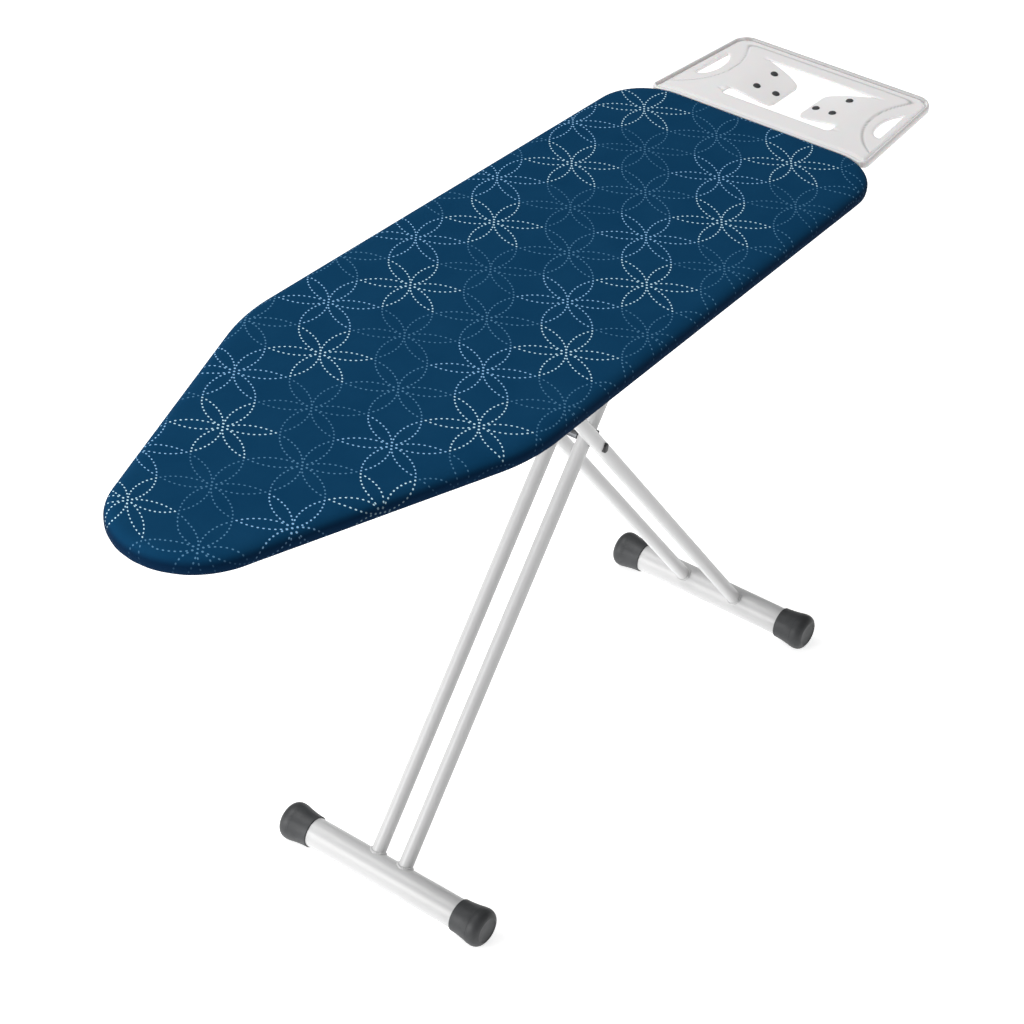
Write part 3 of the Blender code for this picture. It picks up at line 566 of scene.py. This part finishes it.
def around_share(i):
    """How far round the outline a point is, from 0 to 1."""
    return i / OUTLINE_POINTS


def bend_at(i):
    """How much the outline turns at a point, smoothed, from 0 on a straight side to 1."""
    span = 6
    before, after = OUTWARD[i - span], OUTWARD[(i + span) % OUTLINE_POINTS]
    return min(1.0, before.angle(after) / 0.55)


# ---------------------------------------------------------------- cover and pad
def cover_section():
    """The cloth's section from the flat top out, down and in under the rim: (inset, z)."""
    points = [
        (PAD_FACE + 0.018, BOARD_TOP), (PAD_FACE + 0.006, BOARD_TOP - 0.0004),
        (0.0105, BOARD_TOP - 0.0017), (0.0052, BOARD_TOP - 0.0044),
        (0.0018, BOARD_TOP - 0.0082), (0.0002, BOARD_TOP - 0.0128),
        (0.0004, COVER_BOTTOM + 0.0062), (0.0020, COVER_BOTTOM + 0.0022),
        (0.0052, COVER_BOTTOM + 0.0004), (0.0100, COVER_BOTTOM + 0.0004),
        (0.0200, COVER_BOTTOM + 0.0005), (0.0300, COVER_BOTTOM + 0.0006),
    ]
    return smooth_profile(points, 4)


def cloth_wave(x, y):
    """Soft unevenness of the padded top, under a millimetre."""
    broad = noise.noise(Vector((x * 7.0, y * 7.0, 0.3)))
    fine = noise.noise(Vector((x * 23.0, y * 23.0, 4.1)))
    return 0.00045 * broad + 0.00016 * fine - 0.0004


def gather(i, depth):
    """Puckers of the drawn hem, strongest round the bends; depth is 0 at the top, 1 below."""
    share = around_share(i) * math.tau
    bend = bend_at(i)
    wander = noise.noise(Vector((math.cos(share) * 9.0, math.sin(share) * 9.0, 1.7)))
    ripple = math.sin(OUTLINE_POINTS / 7.0 * share + 5.0 * wander)
    return (0.25 + 0.75 * bend) * depth * ripple


def make_cover():
    """One sheet of cloth over the top, round the edge and in under the rim, gathered there."""
    section = cover_section()
    flat_at = [0.0]
    for a, b in zip(section, section[1:]):
        flat_at.append(flat_at[-1] + (b - a).length)
    bm = bmesh.new()
    cloth_map = bm.loops.layers.uv.new("cloth")
    print_map = bm.loops.layers.uv.new("print")
    flat = {}
    loops = []

    first = outline_at(section[0].x)
    for s in range(TOP_RINGS, 0, -1):
        share = s / TOP_RINGS
        ring = []
        for point in first:
            spot = point.lerp(spine_point(point), share)
            z = section[0].y + cloth_wave(spot.x, spot.y)
            vert = bm.verts.new((spot.x, spot.y, z))
            flat[vert] = spot.copy()
            ring.append(vert)
        loops.append(ring)
    for (inset, z), run in zip(section, flat_at):
        ring = []
        for i, (point, outward) in enumerate(zip(OUTLINE, OUTWARD)):
            drop = (BOARD_TOP - z) / (BOARD_TOP - COVER_BOTTOM)
            under = max(0.0, min(1.0, (run - HEM_FROM) / HEM_OVER))
            side = drop * (1 - under)
            spot = point - outward * (inset + SIDE_GATHER * gather(i, side) * side)
            lift = HEM_GATHER * gather(i, under) * under + HEM_LIFT * under
            wave = cloth_wave(spot.x, spot.y) * max(0.0, 1 - drop * 4)
            vert = bm.verts.new((spot.x, spot.y, z + wave + lift))
            flat[vert] = point - outward * (section[0].x - run)
            ring.append(vert)
        loops.append(ring)
    for low, high in zip(loops, loops[1:]):
        for i in range(OUTLINE_POINTS):
            j = (i + 1) % OUTLINE_POINTS
            face = bm.faces.new((low[i], low[j], high[j], high[i]))
            for loop in face.loops:
                spot = flat[loop.vert]
                loop[cloth_map].uv = spot
                loop[print_map].uv = print_place(spot)
    bmesh.ops.remove_doubles(bm, verts=loops[0], dist=1e-5)
    cover = mesh_object("printed_cover", bm, COTTON, 60.0)
    solid = cover.modifiers.new("cloth_thickness", "SOLIDIFY")
    solid.thickness = COVER_THICKNESS
    solid.offset = -1.0
    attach(cover, "board")
    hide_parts("cotton_cover")


def print_place(spot):
    """A place on the flat cloth, in flower spacings on the print's regular grid.

    The cloth is drawn rearwards beside the nose, where the cord pulls it in.
    """
    across, diagonal = PRINT_ACROSS, PRINT_DIAGONAL
    near_nose = max(0.0, 1 - (spot.x - NOSE_X) / NOSE_PULL_REACH)
    beside = min(1.0, max(0.0, (spot.y + 0.02) / 0.08))
    offset = spot - Vector((NOSE_PULL * near_nose ** 2 * beside, 0.0)) - PRINT_ORIGIN
    area = diagonal.x * across.y - diagonal.y * across.x
    m = (offset.x * across.y - offset.y * across.x) / area
    k = (diagonal.x * offset.y - diagonal.y * offset.x) / area
    return (k * math.sqrt(3) / 2, m - k / 2)


def make_pad():
    """Foam pad under the cover, with soft rounded edges."""
    low = PANEL_TOP + 0.0003
    high = BOARD_TOP - 0.0021
    section = smooth_profile([(0.0044, low), (0.0042, low + 0.0006), (0.0070, high - 0.0030),
                              (0.0118, high - 0.0010), (0.0190, high)], 3)
    rings = []
    for inset, z in section:
        rings.append([Vector((p.x, p.y, z)) for p in outline_at(inset)])
    pad = loft("foam_padding", rings, FOAM)
    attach(pad, "board")
    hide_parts("foam_pad")


# ---------------------------------------------------------------- rubber feet
def make_foot_cap(node):
    """Flared rubber cap with a lip at the tube, a faint ring and a dished round end."""
    low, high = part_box(node)
    sign = 1 if (low.y + high.y) > 0 else -1
    centre_x = (low.x + high.x) / 2
    centre_z = high.z - (high.x - low.x) / 2
    start = min(abs(low.y), abs(high.y))
    body = [(0.0214, 0.0020), (0.0224, 0.0021), (0.0229, 0.0028), (0.0230, 0.0055),
            (0.0234, 0.0110), (0.0242, 0.0180), (0.0253, 0.0250), (0.0262, 0.0300)]
    ring = [(0.02660, 0.0312), (0.02640, 0.0319), (0.02665, 0.0326)]
    crown = [(0.0269, 0.0345), (0.0270, 0.0370), (0.0267, 0.0400), (0.0258, 0.0428),
             (0.0242, 0.0453), (0.0220, 0.0472), (0.0197, 0.0484), (0.0180, 0.04885),
             (0.0173, 0.0487), (0.0168, 0.0481), (0.0162, 0.0478), (0.0010, 0.0478)]
    outside = smooth_profile(body, 3)[:-1]
    outside += smooth_profile([body[-1]] + ring + [crown[0]], 2)[:-1]
    outside += smooth_profile(crown[:8], 3)[:-1] + [Vector(point) for point in crown[7:]]
    profile = [(0.0010, 0.0401), (0.0214, 0.0401)] + [tuple(p) for p in outside]
    cap = turned("rubber_" + node, (centre_x, sign * start, centre_z), (0, sign, 0), profile,
                 RUBBER)
    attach(cap, node.split("_")[0] + "_legs")
    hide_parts(node)


# ---------------------------------------------------------------- tubes
def make_foot_tube(prefix):
    """Round cross tube that stands on the floor, open at its ends inside the caps."""
    low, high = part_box(prefix + "_foot_tube")
    base = ((low.x + high.x) / 2, low.y, FOOT_Z)
    length = high.y - low.y
    profile = [(FOOT_RADIUS, 0), (FOOT_RADIUS, length), (FOOT_RADIUS - FOOT_WALL, length),
               (FOOT_RADIUS - FOOT_WALL, 0)]
    tube = turned("round_%s_foot_tube" % prefix, base, (0, 1, 0), profile, WHITE_PAINT, 96, True)
    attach(tube, prefix + "_legs")
    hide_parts(prefix + "_foot_tube")


def leg_line(prefix, y):
    """A leg's axis: the point where it meets its foot tube's axis, and its upward direction."""
    toward = 1 if prefix == "front" else -1
    low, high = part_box(prefix + "_foot_tube")
    start = Vector(((low.x + high.x) / 2, y, FOOT_Z))
    return start, Vector((toward * math.cos(LEG_ANGLE), 0, math.sin(LEG_ANGLE)))


def saddle(start, along, radius, clearance, segments):
    """The curve where a tube of some radius around the leg's axis meets the foot tube."""
    points = []
    for point in circle(start, along, radius, segments):
        offset = point - start
        a = along.x ** 2 + along.z ** 2
        b = offset.x * along.x + offset.z * along.z
        c = offset.x ** 2 + offset.z ** 2 - (FOOT_RADIUS + clearance) ** 2
        points.append(point + along * ((-b + math.sqrt(b * b - a * c)) / a))
    return points


def make_leg(node):
    """Round leg tube, coped to sit on its foot tube, with a weld bead round the joint."""
    prefix, side = node.split("_")[0], node.split("_")[-1]
    low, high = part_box(node)
    start, along = leg_line(prefix, (low.y + high.y) / 2)
    length = (AXLE_Z - FOOT_Z) / math.sin(LEG_ANGLE) + TUBE_PAST_AXLE
    bore = LEG_RADIUS - LEG_WALL
    rings = [saddle(start, along, LEG_RADIUS, SADDLE_GAP, TUBE_SEGMENTS),
             circle(start + along * length, along, LEG_RADIUS, TUBE_SEGMENTS),
             circle(start + along * length, along, bore, TUBE_SEGMENTS),
             saddle(start, along, bore, SADDLE_GAP, TUBE_SEGMENTS)]
    tube = loft("round_" + node, rings, WHITE_PAINT, closed=True)
    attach(tube, prefix + "_legs")
    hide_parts(node)

    path = saddle(start, along, LEG_RADIUS + SADDLE_GAP, SADDLE_GAP, BEAD_POINTS)
    rings = []
    for i, point in enumerate(path):
        tangent = (path[(i + 1) % BEAD_POINTS] - path[i - 1]).normalized()
        out = (point - start) - along * (point - start).dot(along)
        out = (out - tangent * out.dot(tangent)).normalized()
        up = tangent.cross(out)
        size = BEAD_RADIUS + BEAD_RIPPLE * math.sin(math.tau * BEAD_RIPPLES * i / BEAD_POINTS)
        size += BEAD_WANDER * noise.noise(point * 400)
        rings.append([point + size * (math.cos(math.tau * k / 10) * out
                                      + math.sin(math.tau * k / 10) * up) for k in range(10)])
    bead = loft("weld_%s_%s" % (prefix, side), rings, WHITE_PAINT, closed=True)
    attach(bead, prefix + "_legs")


def make_spacer(node):
    """Round plastic spacer between a front and a rear leg, with a lug past the rear leg."""
    low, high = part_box(node)
    lug_at = math.pi / 2 - LEG_ANGLE      # square to the rear leg, on its upper side
    count = 72
    outer, inner = [], []
    for i in range(count):
        off = math.tau * i / count - math.pi
        radius = SPACER_RADIUS
        if abs(off) < math.asin(LUG_HALF_WIDTH / LUG_REACH):
            radius = LUG_REACH * math.cos(off) + math.sqrt(
                LUG_HALF_WIDTH ** 2 - (LUG_REACH * math.sin(off)) ** 2)
        elif abs(off) < math.asin(LUG_HALF_WIDTH / SPACER_RADIUS):
            radius = LUG_HALF_WIDTH / abs(math.sin(off))
        turn = Vector((math.cos(lug_at + off), math.sin(lug_at + off)))
        outer.append(radius * turn)
        inner.append(SPACER_BORE * turn)
    rings = [[Vector((CROSSING_X + p.x, y, CROSSING_Z + p.y)) for p in points]
             for points, y in ((outer, low.y), (outer, high.y), (inner, high.y), (inner, low.y))]
    spacer = loft("lugged_" + node, rings, BLACK_PLASTIC, closed=True)
    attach(spacer, "rear_legs")
    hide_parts(node)


def make_pivot_cap(node):
    """Oblong cap over the end of the crossing bolt, with a rounded edge."""
    low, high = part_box(node)
    outward = 1 if high.y > 0 else -1
    seat = low.y if outward > 0 else high.y
    long_way = Vector((math.sin(CAP_LEAN), 0, math.cos(CAP_LEAN)))
    short_way = Vector((math.cos(CAP_LEAN), 0, -math.sin(CAP_LEAN)))
    rings = []
    for height, inset in smooth_profile(CAP_EDGE, 4):
        ring = []
        for i in range(64):
            turn = math.tau * i / 64
            straight = math.copysign(CAP_HALF_LENGTH - CAP_HALF_WIDTH, math.sin(turn))
            round_end = CAP_HALF_WIDTH - inset
            ring.append(Vector((CROSSING_X, seat + outward * height, CROSSING_Z))
                        + long_way * (straight + round_end * math.sin(turn))
                        + short_way * round_end * math.cos(turn))
        rings.append(ring)
    cap = loft("oblong_" + node, rings, BLACK_PLASTIC)
    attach(cap, "rear_legs")
    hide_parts(node)


# ---------------------------------------------------------------- iron rest
def beside_board(y, gap):
    """How far along X a line lies that runs round the board's rear end at a gap."""
    centre_x = REAR_X - REAR_CORNER_RADIUS
    shoulder_x = NOSE_X + SHOULDER_FROM_NOSE
    centre_y = BOARD_WIDTH / 2 - SIDE_TAPER * (centre_x - shoulder_x) - REAR_CORNER_RADIUS
    past = max(0.0, abs(y) - centre_y)
    return centre_x + math.sqrt((REAR_CORNER_RADIUS + gap) ** 2 - past ** 2)


def tray_outline(inset):
    """The tray seen from above; its front edge follows the board's rear edge and corners."""
    gap = REST_GAP + inset
    half = REST_HALF_FRONT - inset
    ear = (beside_board(half, gap), half)
    rear = (REST_REAR - inset, REST_HALF_REAR - inset)
    upper = []
    for step in range(41):
        y = (half - 0.006) * step / 40
        upper.append(Vector((beside_board(y, gap), y)))
    upper += fillet(upper[-1], ear, rear, 0.0090 - 0.3 * inset, 8)
    upper += fillet(ear, rear, (rear[0], 0), 0.026 - inset, 24)
    lower = [Vector((p.x, -p.y)) for p in upper[1:]]
    return [upper[0]] + lower + upper[:0:-1]


def rest_half_width(x):
    """Half the tray's width: it narrows evenly from front to rear."""
    share = (x - REST_FRONT) / (REST_REAR - REST_FRONT)
    return REST_HALF_FRONT + (REST_HALF_REAR - REST_HALF_FRONT) * share


def slot_outline(sign):
    """Hand slot: straight along the tray's side, bowed towards the middle, ends rounded."""
    ends = [Vector((x, rest_half_width(x) - SLOT_IN)) for x in (SLOT_FRONT, SLOT_REAR)]
    middle = (ends[0] + ends[1]) / 2
    half = (SLOT_REAR - SLOT_FRONT) / 2
    bow = [Vector((middle.x - half * math.cos(math.pi * i / 24),
                   middle.y - SLOT_BOW * math.sin(math.pi * i / 24))) for i in range(1, 24)]
    points = evenly([ends[0]] + bow + [ends[1]], 90)
    for _ in range(3):
        points = [(points[i - 1] + 2 * points[i] + points[(i + 1) % 90]) / 4 for i in range(90)]
    return [Vector((p.x, sign * p.y)) for p in points]


def opening_outline():
    """The middle opening, whose boundary runs round both sloping tongues."""
    front = [(0.0590, OPENING_HALF), (0.0608, 0.0780), (0.0615, 0.0640), (0.0618, 0.0480),
             (0.0633, 0.0330), (0.0662, 0.0252), (0.0740, 0.0212)]
    rear = [(0.1290, 0.0212), (0.1362, 0.0242), (0.1415, 0.0310), (0.1475, 0.0430),
            (0.1525, 0.0570), (0.1568, 0.0740), (0.1582, 0.0840)]
    corner = 0.006
    turn = [Vector((OPENING_FRONT + corner - corner * math.cos(a * math.pi / 12),
                    OPENING_HALF - corner + corner * math.sin(a * math.pi / 12)))
            for a in range(7)]
    tongue = [Vector((REAR_X + x, y)) for x, y in smooth_profile(front, 6)]
    tongue += [Vector((REAR_X + x, y)) for x, y in smooth_profile(rear, 6)]
    slit = [Vector((OPENING_REAR - 0.0012, OPENING_HALF)), Vector((OPENING_REAR, 0.0850))]
    half = [Vector((OPENING_FRONT, 0.0))] + turn + tongue + slit + [Vector((OPENING_REAR, 0.0))]
    other = [Vector((p.x, -p.y)) for p in half[1:-1]]
    loop = half + other[::-1]
    return evenly(loop, 520)


def segment_distance(points, loop):
    """Distance of each point to a closed line of segments."""
    start = np.array([tuple(p) for p in loop])
    step = np.roll(start, -1, axis=0) - start
    best = np.full(len(points), 1e9)
    for a, d in zip(start, step):
        offset = points - a
        share = np.clip(offset @ d / (d @ d), 0.0, 1.0)
        best = np.minimum(best, np.hypot(*(offset - share[:, None] * d).T))
    return best


def inside(points, loop):
    """Which points lie inside a closed line."""
    result = np.zeros(len(points), dtype=bool)
    for a, b in zip(loop, loop[1:] + loop[:1]):
        crosses = (points[:, 1] < a.y) != (points[:, 1] < b.y)
        with np.errstate(divide="ignore", invalid="ignore"):
            x = a.x + (points[:, 1] - a.y) / (b.y - a.y) * (b.x - a.x)
        result ^= crosses & (points[:, 0] < x)
    return result


def smooth_step(value, low, high):
    """From 0 at low to 1 at high, without corners."""
    share = np.clip((value - low) / (high - low), 0.0, 1.0)
    return share * share * (3 - 2 * share)


def tray_height(points, edge, slot_edge, opening_edge):
    """Height of the tray's upper side above its flat band, and the painted shade of its grooves
    and rim.
    """
    x, y = points[:, 0], np.abs(points[:, 1])
    beside = x - np.array([beside_board(min(v, REST_HALF_FRONT), REST_GAP) for v in y])
    flat_front = (1 - smooth_step(beside, 0.0090, 0.0130)) * (1 - smooth_step(y, 0.160, 0.166))
    z = np.interp(edge, *zip(*RIM_SECTION)) * (1 - 0.85 * flat_front)
    past_rear = x - FIELD_REAR
    past_arc = FIELD_ARC_RADIUS - np.hypot(x - FIELD_ARC_CENTRE[0], y - FIELD_ARC_CENTRE[1])
    past_side = FIELD_CORNER * np.logaddexp(past_rear / FIELD_CORNER, past_arc / FIELD_CORNER)
    inner = smooth_step(edge, 0.0080, 0.0110)
    z = z + FIELD_RISE * smooth_step(-past_side, -0.0010, 0.0010) * inner
    z = z - GROOVE * np.exp(-(past_side / 0.0012) ** 2) * inner
    z = z - 0.0008 * smooth_step(-slot_edge, -0.0014, 0.0) - 0.0006 * smooth_step(
        -opening_edge, -0.0012, 0.0)
    for fold_x in (OPENING_FRONT + 0.0085, OPENING_REAR - 0.0006):
        across = np.exp(-((x - fold_x) / 0.0014) ** 2)
        z = z - 0.0016 * across * smooth_step(y, OPENING_HALF - 0.001, OPENING_HALF + 0.002) * (
            1 - smooth_step(y, OPENING_HALF + 0.007, OPENING_HALF + 0.011))
    down = PADDLE_SLOPE * TONGUE_BEND * np.logaddexp(0.0, (OPENING_HALF - y) / TONGUE_BEND)
    front = smooth_step(x, REAR_X + 0.0500, REAR_X + 0.0600)
    rear = 1 - smooth_step(x, OPENING_REAR - 0.0015, OPENING_REAR - 0.0002)

    # painted shade: darker along the field's groove, the rim's inner groove and outer edge, and
    # across the whole rear rim
    along_rear = smooth_step(x, REST_REAR - 0.030, REST_REAR - 0.020)
    in_rear_rim = smooth_step(x, REST_REAR - 0.012, REST_REAR - 0.008)
    painted_rim_groove_shade = inner * np.exp(-(past_side / (0.0011 + 0.0006 * along_rear)) ** 2)
    painted_rim_groove_shade = painted_rim_groove_shade + 0.8 * np.exp(-((edge - 0.0056) / 0.0011) ** 2) * (1 - flat_front)
    painted_rim_groove_shade = painted_rim_groove_shade + 0.3 * (1 - smooth_step(edge, 0.0016, 0.0032)) * (1 - flat_front)
    painted_rim_groove_shade = np.maximum(painted_rim_groove_shade, in_rear_rim * (1 - smooth_step(edge, 0.0056, 0.0076)))
    return z - down * front * rear, np.clip(painted_rim_groove_shade, 0.0, 1.0)


def make_tray():
    """Moulded tray: rolled rim, raised middle field, hand slots with lips, sloping tongues."""
    rims = [tray_outline(inset) for inset, _ in RIM_SECTION] + [tray_outline(0.0105)]
    outer = rims[0]
    slots = [slot_outline(1), slot_outline(-1)]
    opening = opening_outline()
    loops = rims + slots + [opening]
    fixed = np.array([tuple(p) for loop in loops for p in loop])
    xs = np.arange(REST_FRONT, REST_REAR, TRAY_GRID)
    ys = np.arange(-REST_HALF_FRONT, REST_HALF_FRONT, TRAY_GRID)
    grid = np.array([(x + (TRAY_GRID / 2 if k % 2 else 0.0), y)
                     for k, y in enumerate(ys) for x in xs])
    grid = grid[inside(grid, rims[-1])]
    for hole in slots + [opening]:
        grid = grid[~inside(grid, hole)]
    for loop, room in ((rims[-1], 0.0010), (slots[0], 0.0009), (slots[1], 0.0009),
                       (opening, 0.0009)):
        grid = grid[segment_distance(grid, loop) > room]
    edges = []
    first = 0
    for loop in loops:
        edges += [(first + i, first + (i + 1) % len(loop)) for i in range(len(loop))]
        first += len(loop)
    coords = [Vector(p) for p in np.vstack((fixed, grid))]
    verts, _, faces, _, _, _ = geometry.delaunay_2d_cdt(coords, edges, [], 0, 1e-7)
    flat = np.array([tuple(v) for v in verts])
    middles = np.array([flat[list(face)].mean(axis=0) for face in faces])
    keep = inside(middles, outer)
    for hole in slots + [opening]:
        keep &= ~inside(middles, hole)
    faces = [face for face, kept in zip(faces, keep) if kept]

    edge = segment_distance(flat, outer)
    slot_edge = np.minimum(segment_distance(flat, slots[0]), segment_distance(flat, slots[1]))
    opening_edge = segment_distance(flat, opening)
    rise, painted_rim_groove_shade = tray_height(flat, edge, slot_edge, opening_edge)
    top = REST_TOP + rise
    depth = REST_SHEET + 0.0012 * smooth_step(-slot_edge, -0.0015, 0.0)
    bm = bmesh.new()
    # painted shade for the grooves and rim, kept on each upper point for the plastic to read
    shade = bm.verts.layers.float.new("painted_rim_groove_shade")
    upper = [bm.verts.new((p[0], p[1], z)) for p, z in zip(flat, top)]
    lower = [bm.verts.new((p[0], p[1], z)) for p, z in zip(flat, top - depth)]
    sides = {}
    for a, b, c in faces:
        bm.faces.new((upper[a], upper[b], upper[c]))
        bm.faces.new((lower[c], lower[b], lower[a]))
        for pair in ((a, b), (b, c), (c, a)):
            sides[frozenset(pair)] = pair if frozenset(pair) not in sides else None
    for pair in sides.values():
        if pair:
            a, b = pair
            bm.faces.new((upper[b], upper[a], lower[a], lower[b]))
    for vert, amount in zip(upper, painted_rim_groove_shade):
        vert[shade] = amount
    for vert in [v for v in bm.verts if not v.link_faces]:
        bm.verts.remove(vert)
    tray = mesh_object("moulded_rest_tray", bm, PLASTIC, 50.0)
    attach(tray, "board")
    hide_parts("iron_rest_tray")


# ---------------------------------------------------------------- floor, light and camera
def make_stage():
    """A plain pale floor, which glows a little so that no shadow shows, and soft light."""
    bpy.ops.mesh.primitive_plane_add(size=FLOOR_SIZE, location=(0, 0, 0))
    floor = bpy.context.object
    floor.name = "floor"
    n = Nodes("pale_floor", roughness=0.75, Specular_IOR_Level=0.2, Emission_Strength=FLOOR_GLOW,
              Emission_Color=(1, 1, 1, 1))
    shade = n.ramp(n.noise(n.place(), 3.0), 0.0, 1.0, (0.86, 0.86, 0.86, 1), (0.88, 0.88, 0.88, 1))
    floor.data.materials.append(n.finish(shade))

    world = bpy.data.worlds.new("studio")
    bpy.context.scene.world = world
    world.use_nodes = True
    background = world.node_tree.nodes["Background"]
    background.inputs["Color"].default_value = (1, 1, 1, 1)
    background.inputs["Strength"].default_value = WORLD_STRENGTH
    for name, place, size, power in LIGHTS:
        light = bpy.data.lights.new(name, "AREA")
        light.size = size
        light.energy = power
        lamp = collection_link(bpy.data.objects.new(name, light))
        lamp.location = place
        aim = LIGHT_TARGET - Vector(place)
        lamp.rotation_euler = aim.to_track_quat("-Z", "Y").to_euler()


def make_camera():
    """The camera, from its place, its azimuth and elevation, and its roll about its own axis."""
    az, el, roll = CAMERA_AZIMUTH, CAMERA_ELEVATION, CAMERA_ROLL
    back = Vector((math.sin(az) * math.cos(el), -math.cos(az) * math.cos(el), math.sin(el)))
    level = (-back).cross(Vector((0, 0, 1))).normalized()
    up = level.cross(-back)
    x_axis = math.cos(roll) * level + math.sin(roll) * up
    y_axis = -math.sin(roll) * level + math.cos(roll) * up
    camera = bpy.data.cameras.new("camera")
    camera.lens = CAMERA_LENS
    camera.sensor_width = 36.0
    camera.clip_start, camera.clip_end = 0.1, 60.0
    eye = collection_link(bpy.data.objects.new("camera", camera))
    eye.matrix_world = Matrix((x_axis, y_axis, back)).transposed().to_4x4()
    eye.location = CAMERA_PLACE
    bpy.context.scene.camera = eye


bpy.context.scene.view_settings.view_transform = "Standard"
dress_cad_nodes()
make_pad()
make_cover()
make_tray()
for node_name in sorted(frame["nodes"]):
    if "_foot_cap_" in node_name:
        make_foot_cap(node_name)
    if "_leg_tube_" in node_name:
        make_leg(node_name)
    if node_name.startswith("pivot_spacer_"):
        make_spacer(node_name)
    if node_name.startswith("pivot_cap_"):
        make_pivot_cap(node_name)
make_foot_tube("front")
make_foot_tube("rear")
make_stage()
make_camera()
